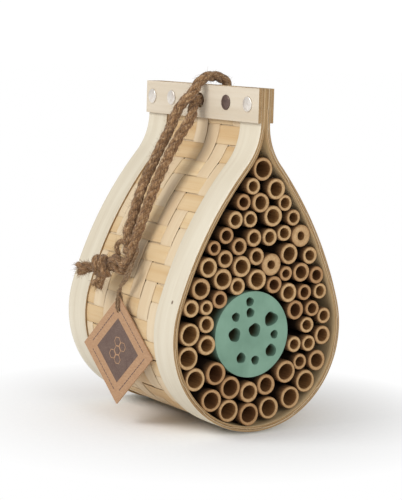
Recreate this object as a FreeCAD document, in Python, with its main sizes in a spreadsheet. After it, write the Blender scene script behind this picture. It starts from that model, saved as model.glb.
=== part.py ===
import FreeCAD, Part
import math
import os
import Sketcher
from FreeCAD import Placement, Rotation, Vector

# Teardrop insect hotel. A woven bamboo mat is bent into a drop and bound at its front and back
# edges by bamboo bands. Two clamp strips and four rivets close it at the top. Hollow canes and a
# drilled block fill it, a back panel closes it, and a rope loop with a tag hangs it up.
#
# Frame: +X to the right seen from the front, +Z up, the open front faces -Y. The origin is the
# lowest point of the drop in the plane of its back edge. Lengths are in millimetres.

SIZES = (
    ("body_height", 201.5, "lowest point of the drop to the top of the clamp strips"),
    ("body_depth", 127, "front edge to back edge of the mat"),
    ("bottom_radius", 58.7, "outside radius of the round bottom"),
    ("bottom_lean", 16.6, "degrees above level where the bottom curve meets the flank"),
    ("flank_radius", 226, "outside radius of each flank"),
    ("neck_lean", 40.3, "degrees above level where the flank meets the hollow neck curve"),
    ("band_width", 22, "edge bands, front to back"),
    ("outer_band_thick", 1.2, "bands on the outside of the mat"),
    ("inner_band_thick", 0.9, "bands on the inside of the mat"),
    ("splint_thick", 0.45, "each woven splint"),
    ("layer_gap", 0.05, "air between neighbouring layers"),
    ("splint_gap", 0.3, "slit between neighbouring splints"),
    ("hoop_pitch", 13.1, "width of a splint that runs round the drop, with its slit"),
    ("hoop_start", 3.2, "by which the rearmost of these splints is wider"),
    ("clamp_height", 20, "clamp strips, top to bottom"),
    ("clamp_thick", 2, "clamp strips"),
    ("fixing_drop", 9.5, "rivets and rope hole below the top"),
    ("rivet_edge_front", 11.5, "front rivet behind the front edge"),
    ("rivet_edge_back", 7.5, "back rivet in front of the back edge"),
    ("rivet_spacing", 23, "between the two rivets of a pair"),
    ("rivet_hole", 3.2, "diameter through the whole stack"),
    ("rivet_shank", 3, "diameter of the post's shank"),
    ("rivet_head", 9, "diameter of the post's head and of the cap"),
    ("rivet_head_thick", 1.2, "head and cap"),
    ("rivet_bevel", 0.5, "bevelled rim of the head and cap"),
    ("rope_hole", 9, "diameter through the strips and the mat"),
    ("rope_diameter", 6.5, "jute rope"),
    ("rope_split", 0.4, "slit where one length of rope hinges on the next"),
    ("panel_thick", 4, "back panel"),
    ("panel_recess", 2, "back panel in front of the back edge"),
    ("panel_fit", 0.35, "air around the back panel"),
    ("panel_top", 165, "flat top of the back panel above the bottom"),
    ("cane_recess", 2.2, "cane and block ends behind the front edge"),
    ("cane_length", 116, "every cane"),
    ("cane_gap", 0.2, "least air between canes, block and bands"),
    ("cane_stagger", 0.35, "step by which the front ends of the canes are uneven"),
    ("block_diameter", 51.2, "drilled nest block"),
    ("block_height", 58, "middle of the block above the bottom"),
    ("block_side", -3.4, "middle of the block to the right of the middle plane"),
    ("nest_depth", 95, "blind holes in the block"),
    ("broad_outer", 13.7, "cane grade: outside diameter"),
    ("broad_bore", 9.7, "cane grade: bore"),
    ("large_outer", 12.6, "cane grade: outside diameter"),
    ("large_bore", 8.2, "cane grade: bore"),
    ("stout_outer", 11.8, "cane grade: outside diameter"),
    ("stout_bore", 7.5, "cane grade: bore"),
    ("middle_outer", 10.5, "cane grade: outside diameter"),
    ("middle_bore", 6.3, "cane grade: bore"),
    ("fine_outer", 9.8, "cane grade: outside diameter"),
    ("fine_bore", 6, "cane grade: bore"),
    ("slim_outer", 8.9, "cane grade: outside diameter"),
    ("slim_bore", 5, "cane grade: bore"),
    ("thick_outer", 13.5, "thick-walled cane grade: outside diameter"),
    ("thick_bore", 5.2, "thick-walled cane grade: bore"),
    ("tag_side", 46, "square tag, hung by one corner"),
    ("tag_thick", 1, "tag"),
    ("tag_hole", 3.2, "diameter of the hole in the tag's top corner"),
    ("tag_hole_drop", 8.5, "hole below the tag's top corner"),
    ("tag_turn", 9, "degrees that the tag is turned from the side face"),
    ("tag_height", 43.5, "middle of the tag above the bottom"),
    ("tag_standoff", 61.8, "middle of the tag to the left of the middle plane"),
    ("tag_forward", 6.2, "middle of the tag in front of the middle of the depth"),
    ("twine_diameter", 1.6, "twine that carries the tag"),
    ("twine_arm", 1.45, "each side of the twine's loop off the middle of the tag"),
    ("twine_neck", 3, "tie of the loop above the tag's top corner"),
    ("twine_knot", 4, "diameter of the tie"),
    ("twine_gap", 0.2, "air between the loop's ends and the tie"),
)

HOOP_SPLINTS = 10     # splints that run round the drop, side by side over the depth
CROSS_SPLINTS = 43    # splints that run front to back, side by side round the drop

# Drilled holes of the block: right of its middle, above its middle, diameter.
NEST_HOLES = (
    (-2, 19.5, 5.3), (-1.5, 13, 5.5), (-11.5, 11, 5.3), (13, 8.5, 8), (-12, 0.5, 8),
    (2, 2.5, 8), (16, -1, 5), (14, -10.5, 7.4), (-7, -13.5, 6.2), (3, -15.5, 5.3),
)

# How the canes are laid, from the apex down: height of the row, then for each cane in it the
# distance to the right of the middle plane and the grade. settle() makes the final small moves.
CANE_ROWS = (
    (155, ((1, "broad"),)),
    (145, ((-6, "fine"),)),
    (143, ((10, "large"),)),
    (136, ((-12, "fine"),)),
    (135, ((0, "stout"), (17, "fine"))),
    (128, ((8, "large"),)),
    (126, ((-18, "middle"), (-7, "fine"), (23, "fine"))),
    (117, ((-23, "fine"), (17, "fine"))),
    (115, ((-5, "middle"), (7, "middle"), (30, "thick"))),
    (110, ((-31, "slim"), (-14, "middle"))),
    (105, ((20, "large"),)),
    (103, ((-23, "middle"), (-3, "middle"), (37, "middle"))),
    (99, ((-35, "stout"), (-12, "large"), (9, "thick"))),
    (93, ((19, "slim"), (31, "stout"))),
    (91, ((-25, "large"), (-1, "large"), (42, "middle"))),
    (87, ((-40, "large"), (-14, "middle"), (11, "middle"))),
    (81, ((-27, "middle"), (22, "stout"), (33, "fine"), (45, "fine"))),
    (76, ((-46, "middle"), (-36, "slim"))),
    (71, ((27, "stout"), (39, "fine"))),
    (66, ((-35, "middle"), (48, "fine"))),
    (61, ((-47, "broad"), (36, "fine"))),
    (54, ((-35, "stout"), (48, "stout"))),
    (50, ((27, "fine"), (37, "fine"))),
    (46, ((-47, "broad"),)),
    (39, ((-30, "broad"), (32, "fine"), (44, "large"))),
    (34, ((21, "broad"),)),
    (31, ((-42, "broad"),)),
    (29, ((-20, "broad"),)),
    (27, ((8, "large"), (36, "broad"))),
    (24, ((-6, "large"),)),
    (20, ((-31, "broad"),)),
    (18, ((25, "broad"),)),
    (13, ((-18, "broad"), (10, "broad"))),
    (11, ((-5, "broad"),)),
)

# Course of the rope: right of, in front of and above the middle of the top edge. It climbs from
# the knot, turns over the top, comes back through the hole and goes down to the knot again. Each
# piece ends at its last point, where the next one hinges on it.
ROPE_COURSE = (
    ("rope_outer_strand_low", ((-52.2, -2.4, -89.2), (-47.5, -1.8, -74), (-41.6, -1.4, -57.5),
                               (-37.3, -1.4, -49.4))),
    ("rope_outer_strand_top", ((-32.6, -1.4, -40), (-24.6, -1, -25), (-18.6, 1.8, -11.2),
                               (-12.8, 4.6, -4.2))),
    ("rope_saddle", ((-10.3, 5, 0), (-5.5, 5.4, 4.2), (2, 5.4, 5), (9.8, 4.8, 2.2),
                     (12.2, 3.4, -2.5), (11, 1.6, -7), (6.2, 0.2, -9.5), (0, 0, -9.5),
                     (-6.5, 0, -9.5))),
    ("rope_inner_strand_top", ((-9.4, 0.6, -10.6), (-12.4, 3.8, -15.8), (-19.4, 5.9, -26.4),
                               (-28.2, 5.8, -39.5), (-33.4, 5.8, -49.4))),
    ("rope_inner_strand_low", ((-37.4, 5.8, -57.5), (-43.6, 5.2, -73), (-49.6, 4.4, -89.2))),
)

# Rounded turns of the knot: middle (as above), half-axes along X, Y and Z, degrees about Z.
KNOT_TURNS = (
    ("knot_bight", (-55.5, 2, -104), (5.5, 8, 14), 0),
    ("knot_wrap", (-63.5, -13, -110.5), (8, 7, 9), 27),
)
KNOT_CROSSING = ((-56, 0, -107), (-59.5, -6, -109), (-63.5, -13, -110.5))
CUT_ENDS = (
    ("upper_cut_end", ((-68.4, -19.9, -110.9), (-71.4, -23.8, -112), (-74.4, -27.5, -113.5))),
    ("lower_cut_end", ((-65.9, -15.4, -119.3), (-66.7, -16.2, -122.4), (-67.4, -17, -125.6))),
)

# Course of the twine from the side of the knot down to the tie above the tag.
TWINE_COURSE = ((-57.4, 13, -104), (-58.6, 12.2, -112))

doc = FreeCAD.newDocument("insect_hotel")
sheet = doc.addObject("Spreadsheet::Sheet", "Sizes")
sub_parts = []


def fill_sheet():
    """Writes the driving dimensions into the sheet, one row each."""
    for row, (alias, value, meaning) in enumerate(SIZES, start=1):
        sheet.set(f"A{row}", alias)
        sheet.set(f"B{row}", str(value))
        sheet.set(f"C{row}", meaning)
        sheet.setAlias(f"B{row}", alias)
    doc.recompute()


def size(alias):
    return float(sheet.get(alias))


def total(*aliases):
    """Expression that adds up cells of the sheet."""
    return " + ".join(f"Sizes.{alias}" for alias in aliases)


def value_of(expression):
    return float(sheet.evalExpression(expression))


def keep(piece, label):
    """Marks a finished piece as a sub-part; its label names its file."""
    piece.Label = label
    sub_parts.append(piece)
    return piece


# ---------------------------------------------------------------- the drop's outline

# Each layer of the wall, as its depth below the outermost face: outer side, inner side.
OUTER_BAND = ("0", total("outer_band_thick"))
CROSS_LAYER = (total("outer_band_thick", "layer_gap"),
               total("outer_band_thick", "layer_gap", "splint_thick"))
HOOP_LAYER = (f"{CROSS_LAYER[1]} + Sizes.layer_gap",
              f"{CROSS_LAYER[1]} + Sizes.layer_gap + Sizes.splint_thick")
INNER_BAND = (f"{HOOP_LAYER[1]} + Sizes.layer_gap",
              f"{HOOP_LAYER[1]} + Sizes.layer_gap + Sizes.inner_band_thick")
# Half of the closed neck, from the middle plane to the outermost face of the outer bands.
HALF_NECK = f"{INNER_BAND[1]} + Sizes.layer_gap"
HALF_STACK = f"{HALF_NECK} + Sizes.layer_gap + Sizes.clamp_thick"
NECK_RADIUS = ("(Sizes.flank_radius * cos(Sizes.neck_lean)"
               " - (Sizes.flank_radius - Sizes.bottom_radius) * cos(Sizes.bottom_lean)"
               f" - ({HALF_NECK})) / (1 - cos(Sizes.neck_lean))")


def toward(degrees):
    """Unit vector in the XZ plane, turned up from +X."""
    angle = math.radians(degrees)
    return Vector(math.cos(angle), 0, math.sin(angle))


fill_sheet()
BOTTOM_RADIUS = size("bottom_radius")
BOTTOM_LEAN = size("bottom_lean")
FLANK_RADIUS = size("flank_radius")
NECK_LEAN = size("neck_lean")
HALF_NECK_WIDTH = value_of(HALF_NECK)
NECK_CURVE = value_of(NECK_RADIUS)
BODY_HEIGHT = size("body_height")
BODY_DEPTH = size("body_depth")

# Centres of the bottom, flank and neck arcs of the right half.
BOTTOM_CENTRE = Vector(0, 0, BOTTOM_RADIUS)
FLANK_CENTRE = BOTTOM_CENTRE - toward(BOTTOM_LEAN) * (FLANK_RADIUS - BOTTOM_RADIUS)
NECK_CENTRE = FLANK_CENTRE + toward(NECK_LEAN) * (FLANK_RADIUS + NECK_CURVE)


def inset_of(point):
    """Depth of a point below the outermost face, and the direction out to that face."""
    side = 1 if point.x >= 0 else -1
    spot = Vector(abs(point.x), 0, point.z)
    from_bottom = spot - BOTTOM_CENTRE
    from_flank = spot - FLANK_CENTRE
    if math.degrees(math.atan2(from_bottom.z, from_bottom.x)) <= BOTTOM_LEAN:
        inset = BOTTOM_RADIUS - from_bottom.Length
        outward = from_bottom
    elif math.degrees(math.atan2(from_flank.z, from_flank.x)) <= NECK_LEAN:
        inset = FLANK_RADIUS - from_flank.Length
        outward = from_flank
    else:
        inset = (NECK_CENTRE - spot).Length - NECK_CURVE
        outward = NECK_CENTRE - spot
    outward = outward.normalize()
    return inset, Vector(side * outward.x, 0, outward.z)


def outline_lengths(inset):
    """Lengths of the bottom arc, flank arc, neck arc and straight top of the right half."""
    return ((BOTTOM_RADIUS - inset) * math.radians(90 + BOTTOM_LEAN),
            (FLANK_RADIUS - inset) * math.radians(NECK_LEAN - BOTTOM_LEAN),
            (NECK_CURVE + inset) * math.radians(NECK_LEAN),
            BODY_HEIGHT - NECK_CENTRE.z)


def outline_spot(run, inset):
    """Point of the right half at a distance run from the bottom, and the tilt of its normal."""
    bottom_run, flank_run, neck_run, _ = outline_lengths(inset)
    if run < bottom_run:
        tilt = -90 + math.degrees(run / (BOTTOM_RADIUS - inset))
        return BOTTOM_CENTRE + toward(tilt) * (BOTTOM_RADIUS - inset), tilt
    run -= bottom_run
    if run < flank_run:
        tilt = BOTTOM_LEAN + math.degrees(run / (FLANK_RADIUS - inset))
        return FLANK_CENTRE + toward(tilt) * (FLANK_RADIUS - inset), tilt
    run -= flank_run
    if run < neck_run:
        tilt = NECK_LEAN - math.degrees(run / (NECK_CURVE + inset))
        return NECK_CENTRE - toward(tilt) * (NECK_CURVE + inset), tilt
    run -= neck_run
    return Vector(HALF_NECK_WIDTH - inset, 0, NECK_CENTRE.z + run), 0


# ---------------------------------------------------------------- sketching helpers

VERTICAL_AXIS = -2
ROOT_POINT = (-1, 1)
START, END, CENTRE = 1, 2, 3


def flat(point):
    """A point of the XZ plane in sketch coordinates."""
    return Vector(point.x, point.z, 0)


def new_body(name):
    return doc.addObject("PartDesign::Body", name)


def new_sketch(body, name, forward="0"):
    """Sketch in the body's XZ plane, moved toward the front by an expression."""
    plane = next(p for p in body.Origin.OriginFeatures if p.Role == "XZ_Plane")
    sketch = body.newObject("Sketcher::SketchObject", name)
    sketch.AttachmentSupport = [(plane, "")]
    sketch.MapMode = "FlatFace"
    sketch.setExpression("AttachmentOffset.Base.z", forward)
    return sketch


def bind(sketch, name, constraint, expression):
    """Adds a named constraint whose value follows an expression."""
    index = sketch.addConstraint(constraint)
    sketch.renameConstraint(index, name)
    sketch.setExpression(f"Constraints.{name}", expression)


def join(sketch, kind, first, first_point, second, second_point):
    sketch.addConstraint(Sketcher.Constraint(kind, first, first_point, second, second_point))


def add_arc(sketch, centre, radius, from_degrees, to_degrees):
    circle = Part.Circle(flat(centre), Vector(0, 0, 1), radius)
    arc = Part.ArcOfCircle(circle, math.radians(from_degrees), math.radians(to_degrees))
    return sketch.addGeometry(arc, False)


def add_line(sketch, start, end):
    return sketch.addGeometry(Part.LineSegment(flat(start), flat(end)), False)


def add_outline(sketch, depth):
    """Bottom, flank and neck arcs and the straight top of the right half, depth below its face."""
    inset = value_of(depth)
    straight_x = HALF_NECK_WIDTH - inset
    arcs = [
        add_arc(sketch, BOTTOM_CENTRE, BOTTOM_RADIUS - inset, -90, BOTTOM_LEAN),
        add_arc(sketch, FLANK_CENTRE, FLANK_RADIUS - inset, BOTTOM_LEAN, NECK_LEAN),
        add_arc(sketch, NECK_CENTRE, NECK_CURVE + inset, 180, 180 + NECK_LEAN),
    ]
    top = Vector(straight_x, 0, BODY_HEIGHT)
    straight = add_line(sketch, Vector(straight_x, 0, NECK_CENTRE.z), top)
    sketch.addConstraint(Sketcher.Constraint("PointOnObject", arcs[0], START, VERTICAL_AXIS))
    join(sketch, "Tangent", arcs[0], END, arcs[1], START)
    join(sketch, "Tangent", arcs[1], END, arcs[2], END)
    join(sketch, "Tangent", arcs[2], START, straight, START)
    sketch.addConstraint(Sketcher.Constraint("Vertical", straight))
    return arcs, straight


def drive_belly(sketch, bottom_arc, flank_arc, depth):
    """Binds the bottom and flank arcs, depth below the outermost face, to the sheet."""
    inset = value_of(depth)
    bottom_span = math.radians(90 + BOTTOM_LEAN)
    flank_span = math.radians(NECK_LEAN - BOTTOM_LEAN)
    sketch.addConstraint(Sketcher.Constraint("PointOnObject", bottom_arc, CENTRE, VERTICAL_AXIS))
    bind(sketch, "bottom_height",
         Sketcher.Constraint("DistanceY", *ROOT_POINT, bottom_arc, CENTRE, BOTTOM_RADIUS),
         "Sizes.bottom_radius")
    bind(sketch, "bottom_radius",
         Sketcher.Constraint("Radius", bottom_arc, BOTTOM_RADIUS - inset),
         f"Sizes.bottom_radius - ({depth})")
    bind(sketch, "flank_radius",
         Sketcher.Constraint("Radius", flank_arc, FLANK_RADIUS - inset),
         f"Sizes.flank_radius - ({depth})")
    bind(sketch, "bottom_span", Sketcher.Constraint("Angle", bottom_arc, bottom_span),
         "(90 + Sizes.bottom_lean) * 1 deg")
    bind(sketch, "flank_span", Sketcher.Constraint("Angle", flank_arc, flank_span),
         "(Sizes.neck_lean - Sizes.bottom_lean) * 1 deg")


def drive_outline(sketch, arcs, straight, depth):
    """Binds the arcs and the straight top of an outline to the sheet."""
    drive_belly(sketch, arcs[0], arcs[1], depth)
    bind(sketch, "half_neck",
         Sketcher.Constraint("DistanceX", *ROOT_POINT, straight, END,
                             HALF_NECK_WIDTH - value_of(depth)),
         f"{HALF_NECK} - ({depth})")
    bind(sketch, "top",
         Sketcher.Constraint("DistanceY", *ROOT_POINT, straight, END, BODY_HEIGHT),
         "Sizes.body_height")


def wall_layer(name, layer, width):
    """One layer of the drop's wall, bent round the whole outline, width deep from y = 0."""
    outer, inner = layer
    body = new_body(name)
    sketch = new_sketch(body, f"{name}_profile")
    outer_arcs, outer_straight = add_outline(sketch, outer)
    inner_arcs, inner_straight = add_outline(sketch, inner)
    drive_outline(sketch, outer_arcs, outer_straight, outer)
    for outer_arc, inner_arc in zip(outer_arcs, inner_arcs):
        join(sketch, "Coincident", inner_arc, CENTRE, outer_arc, CENTRE)
    bind(sketch, "inner_radius",
         Sketcher.Constraint("Radius", inner_arcs[0], BOTTOM_RADIUS - value_of(inner)),
         f"Sizes.bottom_radius - ({inner})")
    lip = add_line(sketch, Vector(HALF_NECK_WIDTH - value_of(outer), 0, BODY_HEIGHT),
                   Vector(HALF_NECK_WIDTH - value_of(inner), 0, BODY_HEIGHT))
    seam = add_line(sketch, Vector(0, 0, value_of(outer)), Vector(0, 0, value_of(inner)))
    sketch.addConstraint(Sketcher.Constraint("Horizontal", lip))
    join(sketch, "Coincident", lip, START, outer_straight, END)
    join(sketch, "Coincident", lip, END, inner_straight, END)
    join(sketch, "Coincident", seam, START, outer_arcs[0], START)
    join(sketch, "Coincident", seam, END, inner_arcs[0], START)
    pad_and_mirror(body, sketch, name, width)
    return body


def pad_and_mirror(body, sketch, name, width):
    """Pads the right half toward the front and mirrors it to the left."""
    doc.recompute()
    pad = body.newObject("PartDesign::Pad", f"{name}_right_half")
    pad.Profile = sketch
    pad.setExpression("Length", width)
    mirror = body.newObject("PartDesign::Mirrored", f"{name}_both_halves")
    mirror.Originals = [pad]
    mirror.MirrorPlane = (sketch, ["V_Axis"])
    body.Tip = mirror
    doc.recompute()


# ---------------------------------------------------------------- primitives along the axes

ALONG_FRONT = Rotation(Vector(1, 0, 0), 90)    # turns a primitive's +Z axis to -Y
ALONG_RIGHT = Rotation(Vector(0, 1, 0), 90)    # turns a primitive's +Z axis to +X


def cylinder(name, diameter, length, placement):
    """Part cylinder whose diameter and length are expressions."""
    piece = doc.addObject("Part::Cylinder", name)
    piece.setExpression("Radius", f"({diameter}) / 2")
    piece.setExpression("Height", length)
    piece.Placement = placement
    return piece


def compound(name, links):
    piece = doc.addObject("Part::Compound", name)
    piece.Links = links
    return piece


def cut(name, base, tool):
    piece = doc.addObject("Part::Cut", name)
    piece.Base = base
    piece.Tool = tool
    return piece


# ---------------------------------------------------------------- fixings through the neck

THROUGH = 40    # longer than anything it cuts across the neck


def rivet_rows():
    """Depth positions of the four rivets, from the back to the front."""
    spacing = size("rivet_spacing")
    back = -size("rivet_edge_back")
    front = size("rivet_edge_front") - BODY_DEPTH
    return back, back - spacing, front + spacing, front


def fixing_height():
    return BODY_HEIGHT - size("fixing_drop")


def middle_depth():
    return -BODY_DEPTH / 2


def make_neck_drill():
    """The four rivet holes and the rope hole, drilled through the whole stack at once."""
    bits = []
    for index, row in enumerate(rivet_rows(), start=1):
        spot = Vector(-THROUGH / 2, row, fixing_height())
        bits.append(cylinder(f"rivet_bit_{index}", "Sizes.rivet_hole", str(THROUGH),
                             Placement(spot, ALONG_RIGHT)))
    spot = Vector(-THROUGH / 2, middle_depth(), fixing_height())
    bits.append(cylinder("rope_bit", "Sizes.rope_hole", str(THROUGH),
                         Placement(spot, ALONG_RIGHT)))
    return compound("neck_drill", bits)


def make_bands(neck_drill):
    """Outer and inner edge bands, at the front and at the back."""
    for side, layer in (("outer", OUTER_BAND), ("inner", INNER_BAND)):
        for end, shift in (("back", "0"), ("front", "Sizes.band_width - Sizes.body_depth")):
            strip = wall_layer(f"{side}_strip_{end}", layer, "Sizes.band_width")
            strip.setExpression("Placement.Base.y", shift)
            keep(cut(f"{side}_band_{end}_drilled", strip, neck_drill), f"{side}_band_{end}")


def slit_box(name, length, width, height):
    """Thin cutter, sizes given as expressions."""
    box = doc.addObject("Part::Box", name)
    box.setExpression("Length", length)
    box.setExpression("Width", width)
    box.setExpression("Height", height)
    return box


def make_hoop_splints(neck_drill):
    """Splints that run round the drop, side by side from the front edge to the back edge."""
    sheet_of_mat = wall_layer("hoop_layer", HOOP_LAYER, "Sizes.body_depth")
    slits = []
    for index in range(1, HOOP_SPLINTS):
        slit = slit_box(f"hoop_slit_{index}", "Sizes.body_height", "Sizes.splint_gap",
                        "2 * Sizes.body_height")
        from_back = size("hoop_start") + index * size("hoop_pitch")
        slit.Placement.Base = Vector(-BODY_HEIGHT / 2, -from_back - size("splint_gap") / 2,
                                     -BODY_HEIGHT / 2)
        slits.append(slit)
    split = cut("hoop_splints_split", sheet_of_mat, compound("hoop_slits", slits))
    keep(cut("hoop_splints_drilled", split, neck_drill), "mat_hoop_splints")


def make_cross_splints(neck_drill):
    """Splints that run front to back, side by side round the drop."""
    sheet_of_mat = wall_layer("cross_layer", CROSS_LAYER, "Sizes.body_depth")
    middle = (value_of(CROSS_LAYER[0]) + value_of(CROSS_LAYER[1])) / 2
    pitch = 2 * sum(outline_lengths(middle)) / CROSS_SPLINTS
    reach = size("splint_thick") + 2 * size("inner_band_thick")    # past both of its faces
    slits = []
    for index in range(CROSS_SPLINTS // 2):
        spot, tilt = outline_spot((index + 0.5) * pitch, middle)
        for side, angle in ((1, tilt), (-1, 180 - tilt)):
            slit = slit_box(f"cross_slit_{index}_{side + 1}", str(reach),
                            "2 * Sizes.body_depth", "Sizes.splint_gap")
            turn = Rotation(Vector(0, 1, 0), -angle)
            corner = Vector(-reach / 2, middle_depth() - BODY_DEPTH, -size("splint_gap") / 2)
            centre = Vector(side * spot.x, 0, spot.z)
            slit.Placement = Placement(centre, turn).multiply(Placement(corner, Rotation()))
            slits.append(slit)
    split = cut("cross_splints_split", sheet_of_mat, compound("cross_slits", slits))
    keep(cut("cross_splints_drilled", split, neck_drill), "mat_cross_splints")


def make_clamp_strips(neck_drill):
    """The two strips that pinch the mat's ends together at the top."""
    for side, inner_face in (("left", f"-({HALF_STACK})"),
                             ("right", f"{HALF_NECK} + Sizes.layer_gap")):
        strip = slit_box(f"clamp_blank_{side}", "Sizes.clamp_thick", "Sizes.body_depth",
                         "Sizes.clamp_height")
        strip.setExpression("Placement.Base.x", inner_face)
        strip.setExpression("Placement.Base.y", "-Sizes.body_depth")
        strip.setExpression("Placement.Base.z", "Sizes.body_height - Sizes.clamp_height")
        keep(cut(f"clamp_{side}_drilled", strip, neck_drill), f"clamp_strip_{side}")


def rivet_disc(name, flip):
    """Round head with a bevelled rim, its flat seat at x = 0; flip is 1 for a head facing +X."""
    rim = cylinder(f"{name}_rim", "Sizes.rivet_head", total("rivet_head_thick")
                   + " - Sizes.rivet_bevel", Placement())
    bevel = doc.addObject("Part::Cone", f"{name}_bevel")
    bevel.setExpression("Radius1", "Sizes.rivet_head / 2")
    bevel.setExpression("Radius2", "Sizes.rivet_head / 2 - Sizes.rivet_bevel")
    bevel.setExpression("Height", "Sizes.rivet_bevel")
    bevel.setExpression("Placement.Base.z", "Sizes.rivet_head_thick - Sizes.rivet_bevel")
    disc = doc.addObject("Part::Fuse", f"{name}_disc")
    disc.Base = rim
    disc.Tool = bevel
    disc.Placement.Rotation = Rotation(Vector(0, 1, 0), 90 * flip)
    return disc


def make_rivets():
    """Two-piece rivets: a headed post from the left and a socketed cap from the right."""
    seat = value_of(HALF_STACK) + size("layer_gap")
    posts = []
    caps = []
    for index, row in enumerate(rivet_rows(), start=1):
        head = rivet_disc(f"post_{index}", -1)
        head.Placement.Base = Vector(-seat, row, fixing_height())
        shank = cylinder(f"post_shank_{index}", "Sizes.rivet_shank",
                         f"2 * ({HALF_STACK}) + 2 * Sizes.layer_gap",
                         Placement(Vector(-seat, row, fixing_height()), ALONG_RIGHT))
        post = doc.addObject("Part::Fuse", f"post_whole_{index}")
        post.Base = head
        post.Tool = shank
        posts.append(post)
        cap = rivet_disc(f"cap_{index}", 1)
        cap.Placement.Base = Vector(seat, row, fixing_height())
        caps.append(cap)
    keep(compound("rivet_post_set", posts), "rivet_posts")
    keep(compound("rivet_cap_set", caps), "rivet_caps")


# ---------------------------------------------------------------- what the drop holds

def make_back_panel():
    """Drop-shaped board that closes the back behind the canes."""
    depth = f"{INNER_BAND[1]} + Sizes.panel_fit"
    inset = value_of(depth)
    body = new_body("back_panel_body")
    sketch = new_sketch(body, "back_panel_profile")
    neck_radius = NECK_CURVE + inset
    top = size("panel_top")
    top_tilt = math.degrees(math.asin((NECK_CENTRE.z - top) / neck_radius))
    top_x = NECK_CENTRE.x - neck_radius * math.cos(math.radians(top_tilt))
    bottom_arc = add_arc(sketch, BOTTOM_CENTRE, BOTTOM_RADIUS - inset, -90, BOTTOM_LEAN)
    flank_arc = add_arc(sketch, FLANK_CENTRE, FLANK_RADIUS - inset, BOTTOM_LEAN, NECK_LEAN)
    neck_arc = add_arc(sketch, NECK_CENTRE, neck_radius, 180 + top_tilt, 180 + NECK_LEAN)
    top_edge = add_line(sketch, Vector(top_x, 0, top), Vector(0, 0, top))
    middle_line = add_line(sketch, Vector(0, 0, top), Vector(0, 0, inset))
    sketch.addConstraint(Sketcher.Constraint("PointOnObject", bottom_arc, START, VERTICAL_AXIS))
    join(sketch, "Tangent", bottom_arc, END, flank_arc, START)
    join(sketch, "Tangent", flank_arc, END, neck_arc, END)
    join(sketch, "Coincident", neck_arc, START, top_edge, START)
    join(sketch, "Coincident", top_edge, END, middle_line, START)
    join(sketch, "Coincident", middle_line, END, bottom_arc, START)
    sketch.addConstraint(Sketcher.Constraint("Horizontal", top_edge))
    sketch.addConstraint(Sketcher.Constraint("Vertical", middle_line))
    drive_belly(sketch, bottom_arc, flank_arc, depth)
    bind(sketch, "neck_radius", Sketcher.Constraint("Radius", neck_arc, neck_radius),
         f"{NECK_RADIUS} + {depth}")
    bind(sketch, "top", Sketcher.Constraint("DistanceY", *ROOT_POINT, top_edge, END, top),
         "Sizes.panel_top")
    pad_and_mirror(body, sketch, "back_panel", "Sizes.panel_thick")
    body.setExpression("Placement.Base.y", "-Sizes.panel_recess")
    keep(body, "back_panel")


def add_circle(sketch, name, right, up, diameter):
    """Circle whose centre and diameter are expressions."""
    centre = Vector(value_of(right), 0, value_of(up))
    ring = sketch.addGeometry(Part.Circle(flat(centre), Vector(0, 0, 1),
                                          value_of(diameter) / 2), False)
    bind(sketch, f"{name}_diameter",
         Sketcher.Constraint("Diameter", ring, value_of(diameter)), diameter)
    bind(sketch, f"{name}_right",
         Sketcher.Constraint("DistanceX", *ROOT_POINT, ring, CENTRE, centre.x), right)
    bind(sketch, f"{name}_up",
         Sketcher.Constraint("DistanceY", *ROOT_POINT, ring, CENTRE, centre.z), up)


def make_nest_block():
    """Round block with blind holes drilled from the front; settled level with the canes."""
    body = new_body("nest_block_body")
    outline = new_sketch(body, "block_outline")
    add_circle(outline, "block", "Sizes.block_side", "Sizes.block_height",
               "Sizes.block_diameter")
    doc.recompute()
    log = body.newObject("PartDesign::Pad", "block_log")
    log.Profile = outline
    log.setExpression("Length", "Sizes.cane_length")
    holes = new_sketch(body, "nest_hole_layout", "Sizes.cane_length")
    for index, (right, up, diameter) in enumerate(NEST_HOLES, start=1):
        add_circle(holes, f"nest_{index}", f"Sizes.block_side + {right}",
                   f"Sizes.block_height + {up}", str(diameter))
    doc.recompute()
    drilled = body.newObject("PartDesign::Pocket", "nest_holes")
    drilled.Profile = holes
    drilled.setExpression("Length", "Sizes.nest_depth")
    body.Tip = drilled
    body.setExpression("Placement.Base.y",
                       "-(Sizes.body_depth - Sizes.cane_recess - Sizes.cane_length)")
    doc.recompute()
    if drilled.Shape.Volume >= log.Shape.Volume:
        raise RuntimeError("the nest holes cut nothing")
    keep(body, "nest_block")


def planned_canes():
    """Every cane of the laying plan as a place, a radius and a grade."""
    canes = []
    for height, row in CANE_ROWS:
        for right, grade in row:
            canes.append({"spot": Vector(right, 0, height), "grade": grade,
                          "radius": size(f"{grade}_outer") / 2})
    return canes


SETTLE_PASSES = 600
SETTLED = 0.02    # largest overlap that may be left


def settle(canes):
    """Moves the canes apart, off the block and inside the bands, a little at a time."""
    gap = size("cane_gap")
    wall = value_of(INNER_BAND[1])
    block = Vector(size("block_side"), 0, size("block_height"))
    block_radius = size("block_diameter") / 2
    for _ in range(SETTLE_PASSES):
        moved = 0
        for index, cane in enumerate(canes):
            for other in canes[index + 1:]:
                between = other["spot"] - cane["spot"]
                short = cane["radius"] + other["radius"] + gap - between.Length
                if short > 0:
                    step = between.normalize() * (short / 2)
                    other["spot"] = other["spot"] + step
                    cane["spot"] = cane["spot"] - step
                    moved = max(moved, short)
        for cane in canes:
            outward = cane["spot"] - block
            short = cane["radius"] + block_radius + gap - outward.Length
            if short > 0:
                cane["spot"] = cane["spot"] + outward.normalize() * short
                moved = max(moved, short)
            inset, to_wall = inset_of(cane["spot"])
            short = wall + gap + cane["radius"] - inset
            if short > 0:
                cane["spot"] = cane["spot"] - to_wall * short
                moved = max(moved, short)
        if moved < SETTLED:
            return
    raise RuntimeError(f"the canes still overlap by {moved:.2f}")


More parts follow.
